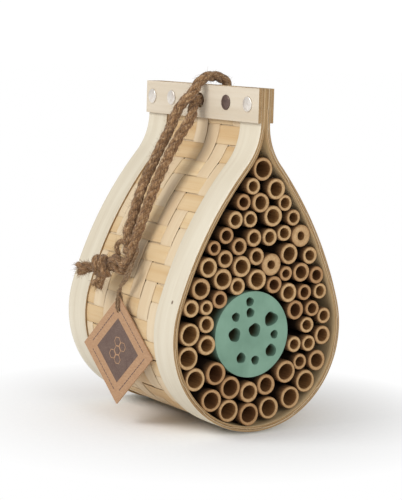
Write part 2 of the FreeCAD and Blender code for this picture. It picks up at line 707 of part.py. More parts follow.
STAGGER_STEPS = 5    # front ends stand at this many different depths, turn by turn


def make_canes():
    """Hollow canes, one sub-part for each grade; their front ends stand a little unevenly."""
    canes = planned_canes()
    settle(canes)
    back_end = size("cane_length") + size("cane_recess") - BODY_DEPTH
    tubes = {}
    for index, cane in enumerate(canes):
        grade = cane["grade"]
        steps_forward = index * 2 % STAGGER_STEPS
        front_shift = size("cane_stagger") * steps_forward
        spot = Vector(cane["spot"].x, back_end - front_shift, cane["spot"].z)
        wall = cylinder(f"cane_wall_{index}", f"Sizes.{grade}_outer", "Sizes.cane_length",
                        Placement(spot, ALONG_FRONT))
        bore = cylinder(f"cane_bore_{index}", f"Sizes.{grade}_bore", "Sizes.cane_length",
                        Placement(spot, ALONG_FRONT))
        tubes.setdefault(grade, []).append(cut(f"cane_{index}", wall, bore))
    for grade, pieces in tubes.items():
        keep(compound(f"{grade}_canes", pieces), f"canes_{grade}")


# ---------------------------------------------------------------- rope, knot and tag

def from_mid_top(right, forward, up):
    """Point measured from the middle of the depth at the top of the clamp strips."""
    return Vector(right, middle_depth() - forward, BODY_HEIGHT + up)


def cord(name, path_shape, diameter):
    """Round cord of a given diameter (a cell's name) swept along a path."""
    path = doc.addObject("Part::Feature", f"{name}_route")
    path.Shape = path_shape
    first = path_shape.OrderedEdges[0] if path_shape.ShapeType == "Wire" else path_shape
    heading = first.tangentAt(first.FirstParameter)
    section = doc.addObject("Part::Circle", f"{name}_section")
    section.setExpression("Radius", f"Sizes.{diameter} / 2")
    section.Placement = Placement(first.valueAt(first.FirstParameter),
                                  Rotation(Vector(0, 0, 1), heading))
    sweep = doc.addObject("Part::Sweep", f"{name}_cord")
    sweep.Sections = [section]
    sweep.Spine = (path, [f"Edge{number + 1}" for number in range(len(path_shape.Edges))])
    sweep.Solid = True
    sweep.Frenet = False
    return sweep


def smooth_path(points):
    curve = Part.BSplineCurve()
    curve.interpolate(list(points))
    return curve


def make_rope():
    """The loop of rope: one smooth course, parted by a thin slit wherever it hinges."""
    points = [from_mid_top(*point) for _, course in ROPE_COURSE for point in course]
    line = smooth_path(points)
    half_slit = size("rope_split") / 2
    start = line.FirstParameter
    for name, course in ROPE_COURSE:
        end = line.LastParameter
        following = end
        if name != ROPE_COURSE[-1][0]:
            parting = line.parameter(from_mid_top(*course[-1]))
            end = line.parameterAtDistance(-half_slit, parting)
            following = line.parameterAtDistance(half_slit, parting)
        keep(cord(name, line.toShape(start, end), "rope_diameter"), name)
        start = following


def ball(name, centre, radii, spin):
    """Ellipsoid with its three half-axes along X, Y and Z, then spun about Z."""
    piece = doc.addObject("Part::Ellipsoid", name)
    piece.Radius2 = radii[0]
    piece.Radius3 = radii[1]
    piece.Radius1 = radii[2]
    piece.Placement = Placement(centre, Rotation(Vector(0, 0, 1), spin))
    return piece


def fused(name, pieces):
    whole = doc.addObject("Part::MultiFuse", name)
    whole.Shapes = pieces
    return whole


def short_rope(name, course):
    """Length of rope through points measured from the middle of the top."""
    path = smooth_path([from_mid_top(*point) for point in course])
    return cord(name, path.toShape(), "rope_diameter")


def make_knot():
    """The overhand knot under the two strands, and the two cut ends that stick out of it."""
    turns = [ball(name, from_mid_top(*centre), radii, spin)
             for name, centre, radii, spin in KNOT_TURNS]
    turns.append(short_rope("knot_crossing", KNOT_CROSSING))
    keep(fused("knot_whole", turns), "rope_knot")
    ends = [short_rope(name, course) for name, course in CUT_ENDS]
    keep(compound("rope_end_pair", ends), "rope_cut_ends")


def tag_frame():
    """Place of the tag's hole; its own +Z is up and its own +X is the tag's normal."""
    rise = math.sqrt(0.5) * size("tag_side") - size("tag_hole_drop")
    hole = Vector(-size("tag_standoff"), middle_depth() - size("tag_forward"),
                  size("tag_height") + rise)
    return Placement(hole, Rotation(Vector(0, 0, 1), size("tag_turn")))


def make_tag():
    """Square card hung by one corner, with a hole near that corner."""
    card = slit_box("tag_card", "Sizes.tag_thick", "Sizes.tag_side", "Sizes.tag_side")
    top_corner = Placement(Vector(0, 0, size("tag_hole_drop")), Rotation())
    on_edge = Placement(Vector(), Rotation(Vector(1, 0, 0), 45))
    corner_first = Placement(Vector(-size("tag_thick") / 2, -size("tag_side"),
                                    -size("tag_side")), Rotation())
    card.Placement = tag_frame().multiply(top_corner).multiply(on_edge).multiply(corner_first)
    drill_start = Placement(Vector(-THROUGH / 2, 0, 0), ALONG_RIGHT)
    hole = cylinder("tag_hole_bit", "Sizes.tag_hole", str(THROUGH),
                    tag_frame().multiply(drill_start))
    keep(cut("tag_punched", card, hole), "tag")


def make_twine():
    """Twine on the tag: a loop through the hole with its tie, and the length up to the knot."""
    arm = size("twine_arm")
    tie_radius = size("twine_knot") / 2
    neck = size("tag_hole_drop") + size("twine_neck")
    arm_top = neck - tie_radius - size("twine_gap")
    down = Part.makeLine(Vector(-arm, 0, arm_top), Vector(-arm, 0, arm))
    under = Part.Arc(Vector(-arm, 0, arm), Vector(), Vector(arm, 0, arm)).toShape()
    up = Part.makeLine(Vector(arm, 0, arm), Vector(arm, 0, arm_top))
    path = Part.Wire([down, under, up])
    path.Placement = tag_frame()
    tie_spot = tag_frame().multVec(Vector(0, 0, neck))
    tie = ball("twine_tie", tie_spot, (tie_radius, tie_radius, tie_radius), 0)
    keep(compound("tied_loop", [cord("twine_loop", path, "twine_diameter"), tie]), "tag_loop")
    end = tie_spot + Vector(0, 0, tie_radius + size("twine_diameter") / 2)
    course = [from_mid_top(*point) for point in TWINE_COURSE]
    keep(cord("twine", smooth_path(course + [end]).toShape(), "twine_diameter"), "tag_twine")


# ---------------------------------------------------------------- build, check and write

def check_document():
    """Stops if any object failed or any sub-part has no valid solid."""
    for item in doc.Objects:
        if "Invalid" in item.State or "Error" in item.State:
            raise RuntimeError(f"{item.Name} failed: {item.State}")
    for piece in sub_parts:
        shape = piece.Shape
        if shape.isNull() or not shape.isValid() or not shape.Solids:
            raise RuntimeError(f"{piece.Label} has no valid solid")


def write_parts():
    os.makedirs("parts", exist_ok=True)
    for piece in sub_parts:
        piece.Shape.exportStep(os.path.join("parts", f"{piece.Label}.step"))
        box = piece.Shape.BoundBox
        print(f"{piece.Label:24s} solids {len(piece.Shape.Solids):3d}"
              f"  volume {piece.Shape.Volume:10.1f}"
              f"  x {box.XMin:7.2f} {box.XMax:7.2f}  y {box.YMin:8.2f} {box.YMax:7.2f}"
              f"  z {box.ZMin:7.2f} {box.ZMax:7.2f}")


drill = make_neck_drill()
make_bands(drill)
make_hoop_splints(drill)
make_cross_splints(drill)
make_clamp_strips(drill)
make_rivets()
make_back_panel()
make_nest_block()
make_canes()
make_rope()
make_knot()
make_tag()
make_twine()
doc.recompute()
check_document()
write_parts()
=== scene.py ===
import math
import random

import bmesh
import bpy
import numpy as np
from mathutils import Matrix, Vector, noise


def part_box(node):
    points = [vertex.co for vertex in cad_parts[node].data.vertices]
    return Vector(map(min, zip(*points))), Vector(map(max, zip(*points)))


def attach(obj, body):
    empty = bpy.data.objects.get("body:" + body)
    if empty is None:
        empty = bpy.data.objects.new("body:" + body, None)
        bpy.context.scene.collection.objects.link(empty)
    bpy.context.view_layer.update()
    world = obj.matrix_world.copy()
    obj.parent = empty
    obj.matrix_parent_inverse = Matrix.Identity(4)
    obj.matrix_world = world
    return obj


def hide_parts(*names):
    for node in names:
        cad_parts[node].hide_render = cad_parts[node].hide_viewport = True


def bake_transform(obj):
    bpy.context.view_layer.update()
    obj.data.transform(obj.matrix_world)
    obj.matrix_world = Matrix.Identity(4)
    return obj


# Teardrop insect hotel, in metres, in the CAD frame: +X right seen from the open front, +Z up,
# the front faces -Y. The origin is the lowest point of the drop in the plane of its back edge.
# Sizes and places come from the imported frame; colours are 0-255 screen values.

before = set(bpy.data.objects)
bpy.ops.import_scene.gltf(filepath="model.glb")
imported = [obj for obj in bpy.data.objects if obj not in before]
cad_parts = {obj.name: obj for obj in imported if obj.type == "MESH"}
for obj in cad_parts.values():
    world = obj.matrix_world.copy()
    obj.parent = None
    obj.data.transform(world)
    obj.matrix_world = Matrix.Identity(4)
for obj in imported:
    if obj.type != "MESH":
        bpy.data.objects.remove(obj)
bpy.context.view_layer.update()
MM = 0.001
MERGE = 0.002 * MM     # vertices closer than this are one
draw = random.Random(7)


# -------- shades

def shown(colour):
    """A socket as it is; a screen colour as the shader's linear one."""
    if isinstance(colour, bpy.types.NodeSocket):
        return colour
    shares = [part / 255 for part in colour]
    return tuple(part / 12.92 if part <= 0.04045 else ((part + 0.055) / 1.055) ** 2.4
                 for part in shares) + (1.0,)


class Shade:
    """One material's node tree, built a node at a time around a Principled surface."""

    def __init__(self, name, roughness, specular, metallic=0.0):
        self.material = bpy.data.materials.new(name)
        self.material.use_nodes = True
        self.tree = self.material.node_tree
        self.surface = self.tree.nodes["Principled BSDF"]
        self.set_surface("Roughness", roughness)
        self.set_surface("Specular IOR Level", specular)
        self.set_surface("Metallic", metallic)

    def set_surface(self, key, value):
        self.feed(self.surface.inputs[key], value)

    def feed(self, socket, value):
        if isinstance(value, bpy.types.NodeSocket):
            self.tree.links.new(value, socket)
        else:
            socket.default_value = value

    def node(self, kind, sockets, output=0, **settings):
        """A node with its sockets fed, by name or number; gives back one of its outputs."""
        made = self.tree.nodes.new(f"ShaderNode{kind}")
        for key, value in settings.items():
            setattr(made, key, value)
        for key, value in sockets.items():
            self.feed(made.inputs[key], value)
        return made.outputs[output]

    def attribute(self, name, output="Fac"):
        return self.node("Attribute", {}, output, attribute_name=name)

    def grain(self):
        return self.attribute("grain", "Vector")

    def place(self):
        return self.node("TexCoord", {}, "Object")

    def scaled(self, vector, scale):
        return self.node("VectorMath", {0: vector, 1: scale}, operation="MULTIPLY")

    def noise(self, vector, scale, detail, roughness, distortion=0.0):
        """Noise whose scale, in features per metre, is one number or one for each axis."""
        if isinstance(scale, tuple):
            vector = self.scaled(vector, scale)
            scale = 1.0
        return self.node("TexNoise", {"Vector": vector, "Scale": scale, "Detail": detail,
                                      "Roughness": roughness, "Distortion": distortion}, "Fac")

    def noises(self, vector, *rows):
        """Noises on one vector, a row for each: scale, detail, roughness and distortion."""
        return [self.noise(vector, *row) for row in rows]

    def math(self, operation, first, second):
        return self.node("Math", {0: first, 1: second}, operation=operation)

    def band(self, value, low, high, start=0.0, end=1.0):
        """Straight ramp from start to end as value goes from low to high, held outside."""
        return self.node("MapRange", {"Value": value, "From Min": low, "From Max": high,
                                      "To Min": start, "To Max": end}, clamp=True)

    def depth(self, node, near, far):
        """Ramp between two depths, in millimetres, behind the front of a CAD node."""
        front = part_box(node)[0].y
        y = self.node("SeparateXYZ", {0: self.place()}, 1)
        return self.band(y, front + near * MM, front + far * MM)

    def mix(self, share, first, second, blend="MIX"):
        return self.node("Mix", {"Factor": share, "A": shown(first), "B": shown(second)},
                         "Result", data_type="RGBA", blend_type=blend)

    def coats(self, base, *rows):
        """Lays colours on a base: each row is a value, its low and high, the cover at both, and
        the colour."""
        for value, low, high, start, end, colour in rows:
            base = self.mix(self.band(value, low, high, start, end), base, colour)
        return base

    def finish(self, base, *bumps):
        """Sets the colour and stacks the bumps, each a height and its size in millimetres."""
        self.set_surface("Base Color", base)
        normal = None
        for height, distance in bumps:
            sockets = {"Distance": distance * MM, "Height": height}
            if normal is not None:
                sockets["Normal"] = normal
            normal = self.node("Bump", sockets)
        self.set_surface("Normal", normal)
        return self.material


def split_bamboo(name, light, dark, streak, marks=(), fibre=1500, sheen=0.35):
    """Split bamboo: long fine fibres along the grain, cloudy tone, soft sheen. The grain
    attribute holds along, across and through in metres; tint is a value for each strip."""
    shade = Shade(name, 0.5, sheen)
    grain = shade.grain()
    tint = shade.attribute("tint")
    shift = shade.node("CombineXYZ", {0: shade.math("MULTIPLY", tint, 9.0),
                                      1: shade.math("MULTIPLY", tint, 7.0)})
    moved = shade.node("VectorMath", {0: grain, 1: shift}, operation="ADD")
    fibres, broad, cloud = shade.noises(moved, ((28, fibre, 900), 4, 0.6),
                                        ((9, 170, 100), 3, 0.5), ((22, 40, 40), 2, 0.5))
    base = shade.coats(light, (broad, 0.3, 0.72, 0, 1, dark),
                       (fibres, 0.56, 0.8, 0, 0.5, streak), (cloud, 0.35, 0.75, 0, 0.35, dark))
    base = shade.mix(shade.band(tint, 0, 1, 0, 0.32), base, dark, "MULTIPLY")
    for mark in marks:
        base = shade.mix(spot_mask(shade, grain, *mark), base, (92, 62, 40))
    shade.set_surface("Roughness", shade.band(fibres, 0.3, 0.8, 0.42, 0.68))
    return shade.finish(base, (broad, 0.12), (fibres, 0.1))


def spot_mask(shade, grain, along, across, half_long, half_wide):
    """Soft oval mask at a place on the grain."""
    squares = []
    for axis, middle, half in ((0, along, half_long), (1, across, half_wide)):
        part = shade.node("SeparateXYZ", {0: grain}, axis)
        far = shade.math("DIVIDE", shade.math("SUBTRACT", part, middle), half)
        squares.append(shade.math("MULTIPLY", far, far))
    return shade.band(shade.math("ADD", *squares), 0.5, 1.2, 0.85, 0.0)


def cut_edge(name, light, dark):
    """The sawn edge of split bamboo: tan, with dark pores drawn out along the edge."""
    shade = Shade(name, 0.75, 0.2)
    lines, patches, pores = shade.noises(shade.grain(), ((60, 2600, 2600), 4, 0.65),
                                         ((70, 200, 200), 3, 0.6),
                                         ((700, 4000, 4000), 2, 0.5))
    base = shade.coats(light, (lines, 0.35, 0.7, 0, 1, dark),
                       (patches, 0.45, 0.75, 0, 0.45, dark),
                       (pores, 0.62, 0.75, 0, 0.5, (96, 70, 44)))
    return shade.finish(base, (lines, 0.15), (pores, 0.08))


def cane_skin():
    """Outside of a cane: long lines, and darker behind the mouth, where no light gets in."""
    shade = Shade("cane_skin", 0.6, 0.3)
    lines = shade.noise(shade.grain(), (30, 1400, 1400), 4, 0.6)
    base = shade.coats((158, 120, 82), (lines, 0.3, 0.7, 0, 1, (118, 84, 54)),
                       (shade.attribute("tint"), 0, 1, 0, 0.45, (104, 72, 46)))
    # painted shade: the skin turns dark from 0.8 mm to 7 mm behind the front of the canes, where
    # they shade one another
    base = shade.mix(shade.depth("canes_broad", 0.8, 7), base, (46, 33, 24))
    return shade.finish(base, (lines, 0.12))


def cane_end():
    """Sawn end of a cane: dotted with pores, darker at its skin, with a stain on some canes.
    The ring attribute is 0 at the bore and 1 at the skin."""
    shade = Shade("cane_end", 0.8, 0.15)
    place = shade.place()
    ring = shade.attribute("ring")
    dots = shade.node("TexVoronoi", {"Vector": shade.scaled(place, (1, 0.2, 1)),
                                     "Scale": 2100}, "Distance")
    fuzz = shade.noise(place, 900, 4, 0.65)
    base = shade.coats((214, 181, 136), (fuzz, 0.3, 0.75, 0, 1, (176, 139, 96)),
                       (dots, 0.0, 0.35, 0.45, 0, (128, 92, 58)),
                       (ring, 0.55, 1.0, 0, 0.7, (138, 100, 64)),
                       (ring, 0.0, 0.25, 0.35, 0, (166, 128, 84)),
                       (shade.attribute("tint"), 0.35, 1.0, 0, 0.6, (158, 114, 76)))
    return shade.finish(base, (fuzz, 0.25), (dots, 0.1))


def cane_bore():
    """Inside of a cane, much darker in some."""
    shade = Shade("cane_bore", 0.65, 0.25)
    lines = shade.noise(shade.grain(), (60, 1300, 1300), 4, 0.6)
    base = shade.coats((168, 126, 78), (lines, 0.3, 0.75, 0, 1, (118, 82, 48)),
                       (shade.attribute("tint"), 0.2, 1, 0, 0.75, (92, 54, 32)))
    return shade.finish(base, (lines, 0.15))


def block_paint():
    """Thin matt pastel green over end grain; painted shade darkens it deep in holes and sides."""
    shade = Shade("green_paint", 0.72, 0.25)
    rings, speck, cloud = shade.noises(shade.place(), ((260, 12, 60), 4, 0.6),
                                       (1900, 3, 0.6), (70, 3, 0.5))
    green = shade.coats((127, 161, 141), (cloud, 0.35, 0.7, 0, 1, (112, 145, 126)),
                        (rings, 0.52, 0.8, 0, 0.28, (108, 143, 123)),
                        (speck, 0.66, 0.8, 0, 0.35, (172, 205, 184)))
    # painted shade: darker from 1.5 mm to 7 mm behind the front, in the holes and down the sides
    base = shade.mix(shade.depth("nest_block", 1.5, 7), green, (84, 80, 56))
    return shade.finish(base, (cloud, 0.25), (speck, 0.06))


def cord_shade(name, light, dark, pale, size):
    """Twisted plant fibre. The grain attribute runs along, and round, each ply; crease is
    1 deep between the plies, where it paints shade into the grooves."""
    shade = Shade(name, 0.95, 0.06)
    hairs, flecks = shade.noises(shade.grain(), ((130, 4, 4), 5, 0.75, 0.5),
                                 ((480, 2.4, 2.4), 3, 0.6, 0.4))
    strands, patches = shade.noises(shade.place(), (size, 4, 0.75), (150, 2, 0.5))
    base = shade.coats(dark, (hairs, 0.38, 0.62, 0, 1, light),
                       (flecks, 0.55, 0.7, 0, 0.7, pale), (flecks, 0.33, 0.45, 0.8, 0, dark),
                       (strands, 0.55, 0.69, 0, 0.8, pale), (strands, 0.31, 0.44, 0.85, 0, dark),
                       (patches, 0.45, 0.7, 0, 0.3, dark),
                       # painted shade in the grooves between the plies
                       (shade.attribute("crease"), 0, 1, 0, 0.6, (72, 52, 36)))
    shade.set_surface("Sheen Weight", 0.2)
    shade.set_surface("Sheen Roughness", 0.6)
    return shade.finish(base, (hairs, 0.3), (flecks, 0.3), (strands, 0.35))


def loose_hair_shade():
    """Loose hairs of jute."""
    shade = Shade("jute_hair", 0.8, 0.2)
    patches = shade.noise(shade.place(), 300, 2, 0.5)
    base = shade.coats((186, 152, 112), (patches, 0.35, 0.65, 0, 1, (128, 94, 62)))
    shade.set_surface("Base Color", base)
    return shade.material


def kraft_shade():
    """Brown card of pressed fibres with a few dark flecks."""
    shade = Shade("kraft_card", 0.85, 0.15)
    place = shade.place()
    fibres = shade.noise(shade.scaled(place, (1, 1, 3.2)), 420, 5, 0.7, 0.6)
    flecks = shade.noise(place, 1500, 2, 0.5)
    base = shade.coats((189, 153, 121), (fibres, 0.3, 0.7, 0, 1, (167, 129, 98)),
                       (flecks, 0.68, 0.78, 0, 0.5, (132, 94, 66)))
    return shade.finish(base, (fibres, 0.08), (flecks, 0.04))


def ink_shade():
    """Dark print that the card's fibres show through."""
    shade = Shade("brown_ink", 0.75, 0.2)
    flecks, clouds = shade.noises(shade.place(), (1600, 3, 0.6), (260, 3, 0.5))
    base = shade.coats((106, 88, 80), (flecks, 0.45, 0.72, 0, 1, (130, 109, 98)),
                       (clouds, 0.4, 0.7, 0, 0.4, (90, 70, 66)))
    return shade.finish(base, (flecks, 0.03))


def rivet_shade(name, bright, dull, worn):
    """Thin plating, lightly scuffed."""
    shade = Shade(name, 0.3, 0.5, 0.55)
    scuffs, clouds = shade.noises(shade.place(), (1400, 4, 0.6), (380, 2, 0.5))
    base = shade.coats(bright, (scuffs, 0.45, 0.75, 0, worn, dull),
                       (clouds, 0.45, 0.7, 0, worn, dull))
    shade.set_surface("Roughness", shade.band(scuffs, 0.3, 0.8, 0.26, 0.5))
    return shade.finish(base, (clouds, 0.05))


def board_shade():
    """Plain thin board with vertical grain."""
    shade = Shade("back_board", 0.7, 0.25)
    rings, pores = shade.noises(shade.place(), ((260, 260, 14), 4, 0.55, 0.8),
                                ((2600, 2600, 90), 3, 0.6))
    base = shade.coats((214, 184, 142), (rings, 0.3, 0.7, 0, 1, (184, 148, 104)),
                       (pores, 0.6, 0.75, 0, 0.45, (142, 106, 70)))
    return shade.finish(base, (rings, 0.15), (pores, 0.1))


# -------- mesh helpers

def turned(first, second, angle):
    """Direction at an angle from the first of two crossed directions towards the second."""
    return first * math.cos(angle) + second * math.sin(angle)


def store(data, key, values):
    """Keeps a number, or three, for each vertex of a mesh as a named attribute."""
    values = np.array(values, np.float32)
    kind, field = ("FLOAT", "value") if values.ndim == 1 else ("FLOAT_VECTOR", "vector")
    data.attributes.new(key, kind, "POINT").data.foreach_set(field, values.ravel())


def add_object(name, data):
    """New object of the scene that shows some data."""
    obj = bpy.data.objects.new(name, data)
    bpy.context.scene.collection.objects.link(obj)
    return obj


def place_piece(name, data, body, nodes):
    """Puts a mesh in the scene as a piece that rides on a body; with body None it rides on
    none."""
    obj = add_object(name, data)
    if body:
        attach(obj, body)
    if nodes:
        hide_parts(*nodes)
    return obj


class Builder:
    """Collects closed strips into one mesh. Each is made of rings of as many corners each, and
    a corner is a place and its grain."""

    def __init__(self):
        self.verts = []
        self.faces = []
        self.kinds = []
        self.grain = []
        self.values = {}

    def add_corners(self, rings, values):
        """Adds the corners of some rings; a value is one number or a list of them."""
        start = len(self.verts)
        corners = [corner for ring in rings for corner in ring]
        self.verts += [place for place, _ in corners]
        self.grain += [grain for _, grain in corners]
        for key, value in values.items():
            numbers = value if isinstance(value, list) else [value] * len(corners)
            self.values.setdefault(key, []).extend(numbers)
        return start

    def join(self, low, high, kinds):
        """Joins the ring that starts at vertex low to the one that starts at high."""
        count = len(kinds)
        for k, kind in enumerate(kinds):
            after = (k + 1) % count
            self.faces.append((low + k, low + after, high + after, high + k))
            self.kinds.append(kind)

    def loft(self, rings, kinds=None, cap_kind=0, **values):
        """Joins rings into a strip with closed ends; kinds gives each side's material."""
        start = self.add_corners(rings, values)
        count = len(rings[0])
        last = start + (len(rings) - 1) * count
        for low in range(start, last, count):
            self.join(low, low + count, kinds or [0] * count)
        self.faces.append(tuple(start + k for k in reversed(range(count))))
        self.faces.append(tuple(last + k for k in range(count)))
        self.kinds += [cap_kind, cap_kind]

    def loop(self, rings, kinds, **values):
        """Joins rings, the last one to the first; kinds gives each ring's material."""
        start = self.add_corners(rings, values)
        count = len(rings[0])
        for row, kind in enumerate(kinds):
            self.join(start + row * count, start + (row + 1) % len(rings) * count,
                      [kind] * count)

    def make(self, name, materials, body, nodes=(), smooth=True):
        data = bpy.data.meshes.new(name)
        data.from_pydata([tuple(vert) for vert in self.verts], [], self.faces)
        for material in materials:
            data.materials.append(material)
        data.polygons.foreach_set("material_index", np.array(self.kinds, np.int32))
        data.polygons.foreach_set("use_smooth", np.full(len(data.polygons), smooth))
        store(data, "grain", self.grain)
        for key, numbers in self.values.items():
            store(data, key, numbers)
        data.validate()
        data.update()
        return place_piece(name, data, body, nodes)


def node_mesh(node):
    """Editable copy of a CAD node's mesh with its double vertices merged; to be freed."""
    mesh = bmesh.new()
    mesh.from_mesh(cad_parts[node].data)
    bmesh.ops.remove_doubles(mesh, verts=mesh.verts, dist=MERGE)
    mesh.verts.index_update()
    return mesh


def sharp_edges(mesh, least):
    """Edges where two faces meet at more than least degrees."""
    return [edge for edge in mesh.edges if len(edge.link_faces) == 2
            and edge.calc_face_angle(0) > math.radians(least)]


def groups_along(edges):
    """Places of the vertices that some edges join, one array for each connected group."""
    ways = {}
    for edge in edges:
        first, second = edge.verts
        ways.setdefault(first, []).append(second)
        ways.setdefault(second, []).append(first)
    seen = set()
    groups = []
    for start in sorted(ways, key=lambda vert: vert.index):
        if start in seen:
            continue
        seen.add(start)
        group = [start]
        for vert in group:
            fresh = set(ways[vert]) - seen
            seen |= fresh
            group += fresh
        group.sort(key=lambda vert: vert.index)
        groups.append(np.array([vert.co for vert in group]))
    return groups


def islands(node):
    """The separate solids of a CAD node, each as an array of its vertices."""
    mesh = node_mesh(node)
    found = groups_along(mesh.edges)
    mesh.free()
    return found


def sharp_loops(node, least=50):
    """Rings of sharp edges of a CAD node, each as an array of its vertices."""
    mesh = node_mesh(node)
    found = groups_along(sharp_edges(mesh, least))
    mesh.free()
    return found


def softened(name, node, width, materials, body="housing", segments=2, least=35):
    """Copy of a CAD node's shape with its sharp edges rounded off."""
    mesh = node_mesh(node)
    bmesh.ops.dissolve_limit(mesh, angle_limit=math.radians(1), verts=mesh.verts,
                             edges=mesh.edges)
    bmesh.ops.bevel(mesh, geom=sharp_edges(mesh, least), offset=width, segments=segments,
                    profile=0.6, affect="EDGES", clamp_overlap=True)
    bmesh.ops.triangulate(mesh, faces=[face for face in mesh.faces if len(face.verts) > 4])
    bmesh.ops.recalc_face_normals(mesh, faces=mesh.faces)
    data = bpy.data.meshes.new(name)
    mesh.to_mesh(data)
    mesh.free()
    for material in materials:
        data.materials.append(material)
    for polygon in data.polygons:
        polygon.material_index = 0
    return place_piece(name, data, body, (node,))


def lay_grain(obj, axes, tint):
    """Grain of a flat piece: the numbers of the axes along, across and through it."""
    places = np.array([vert.co for vert in obj.data.vertices])
    store(obj.data, "grain", places[:, axes])
    store(obj.data, "tint", np.full(len(places), tint))


def ease(value):
    """Smooth step from 0 to 1."""
    value = min(max(value, 0.0), 1.0)
    return value * value * (3 - 2 * value)


def steps(start, end, longest):
    """Evenly spaced values from start to end, no further apart than longest."""
    count = max(1, math.ceil(abs(end - start) / longest))
    return [start + (end - start) * k / count for k in range(count + 1)]


# -------- the drop's outline

def toward(angle):
    """Direction in the plane of the front, at an angle above +X."""
    return Vector((math.cos(angle), 0, math.sin(angle)))


FRONT_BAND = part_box("outer_band_front")
BACK_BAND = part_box("outer_band_back")
DEPTH = BACK_BAND[1].y - FRONT_BAND[0].y
TOP = FRONT_BAND[1].z
LAYER_GAP = 0.05 * MM
OUTER_THICK = 1.2 * MM
HALF_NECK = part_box("clamp_strip_right")[0].x - LAYER_GAP
INNER_BAND_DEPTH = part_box("inner_band_front")[0].z
INNER_DEPTHS = (INNER_BAND_DEPTH, HALF_NECK - LAYER_GAP)
MAT_DEPTHS = (FRONT_BAND[0].z + OUTER_THICK + LAYER_GAP, INNER_BAND_DEPTH - LAYER_GAP)

# Half the outline: an arc at the bottom, one up the flank, a hollow one, and the straight neck
BOTTOM_RADIUS = FRONT_BAND[1].x
FLANK_RADIUS = 226 * MM
BOTTOM_LEAN = math.radians(16.6)   # where the bottom meets the flank, above level
NECK_LEAN = math.radians(40.3)     # where the flank meets the hollow arc
BOTTOM_CENTRE = Vector((0, 0, BOTTOM_RADIUS))
FLANK_CENTRE = BOTTOM_CENTRE - toward(BOTTOM_LEAN) * (FLANK_RADIUS - BOTTOM_RADIUS)
NECK_RADIUS = ((FLANK_RADIUS * math.cos(NECK_LEAN)
                - (FLANK_RADIUS - BOTTOM_RADIUS) * math.cos(BOTTOM_LEAN) - HALF_NECK)
               / (1 - math.cos(NECK_LEAN)))
NECK_CENTRE = FLANK_CENTRE + toward(NECK_LEAN) * (FLANK_RADIUS + NECK_RADIUS)
BOTTOM_RUN = BOTTOM_RADIUS * (math.pi / 2 + BOTTOM_LEAN)
FLANK_RUN = FLANK_RADIUS * (NECK_LEAN - BOTTOM_LEAN)
NECK_RUN = NECK_RADIUS * NECK_LEAN
HALF_RUN = BOTTOM_RUN + FLANK_RUN + NECK_RUN + TOP - NECK_CENTRE.z


def drop(run):
    """Point of the outermost outline and its outward direction, at a signed run from the
    lowest point; negative runs climb the left side."""
    side = -1 if run < 0 else 1
    run = abs(run)
    if run < BOTTOM_RUN:
        out = toward(run / BOTTOM_RADIUS - math.pi / 2)
        spot = BOTTOM_CENTRE + out * BOTTOM_RADIUS
    elif run < BOTTOM_RUN + FLANK_RUN:
        out = toward(BOTTOM_LEAN + (run - BOTTOM_RUN) / FLANK_RADIUS)
        spot = FLANK_CENTRE + out * FLANK_RADIUS
    elif run < BOTTOM_RUN + FLANK_RUN + NECK_RUN:
        out = toward(NECK_LEAN - (run - BOTTOM_RUN - FLANK_RUN) / NECK_RADIUS)
        spot = NECK_CENTRE - out * NECK_RADIUS
    else:
        out = Vector((1, 0, 0))
        spot = Vector((HALF_NECK, 0, TOP - HALF_RUN + run))
    return Vector((side * spot.x, 0, spot.z)), Vector((side * out.x, 0, out.z))


def wall_point(run, depth, y):
    """Point inside the wall: depth is measured in from the outermost face."""
    spot, out = drop(run)
    spot = spot - out * depth
    return Vector((spot.x, y, spot.z))


# -------- bands

BAND_ROUNDING = 0.34 * MM
BAND_STEP = 2.2 * MM          # length of the pieces the outline is drawn with
EDGE_WANDER = 0.16 * MM
FACE_SWELL = 0.05 * MM


def band_section(near, far, front, back):
    """Closed outline of a band's section as (depth, y), its corners rounded and its long
    sides cut in six."""
    points = []
    corners = ((near + BAND_ROUNDING, front + BAND_ROUNDING, 180),
               (far - BAND_ROUNDING, front + BAND_ROUNDING, 270),
               (far - BAND_ROUNDING, back - BAND_ROUNDING, 0),
               (near + BAND_ROUNDING, back - BAND_ROUNDING, 90))
    for depth, y, first in corners:
        for degrees in (first, first + 45, first + 90):
            turn = math.radians(degrees)
            points.append((depth + BAND_ROUNDING * math.cos(turn),
                           y + BAND_ROUNDING * math.sin(turn)))
    filled = []
    for here, after in zip(points, points[1:] + points[:1]):
        cuts = 6 if abs(after[1] - here[1]) > 4 * BAND_ROUNDING else 1
        for k in range(cuts):
            filled.append((here[0] + (after[0] - here[0]) * k / cuts,
                           here[1] + (after[1] - here[1]) * k / cuts))
    return filled


def band_strip(name, node, depths, face, seed):
    """An edge band round the whole drop, its edges slightly uneven."""
    low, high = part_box(node)
    rings = []
    for run in steps(-HALF_RUN, HALF_RUN, BAND_STEP):
        wander = EDGE_WANDER * abs(noise.noise(Vector((run * 40, seed, 0))))
        swell = FACE_SWELL * abs(noise.noise(Vector((run * 25, seed, 9))))
        section = band_section(depths[0] + swell, depths[1], low.y + wander, high.y - wander)
        rings.append([(wall_point(run, depth, y), (run, y, depth)) for depth, y in section])
    kinds = [0 if abs(after[1] - here[1]) > abs(after[0] - here[0]) else 1
             for here, after in zip(section, section[1:] + section[:1])]
    build = Builder()
    build.loft(rings, kinds, 1, tint=draw.uniform(0.05, 0.35))
    build.make(name, [face, band_edge], "housing", (node,))


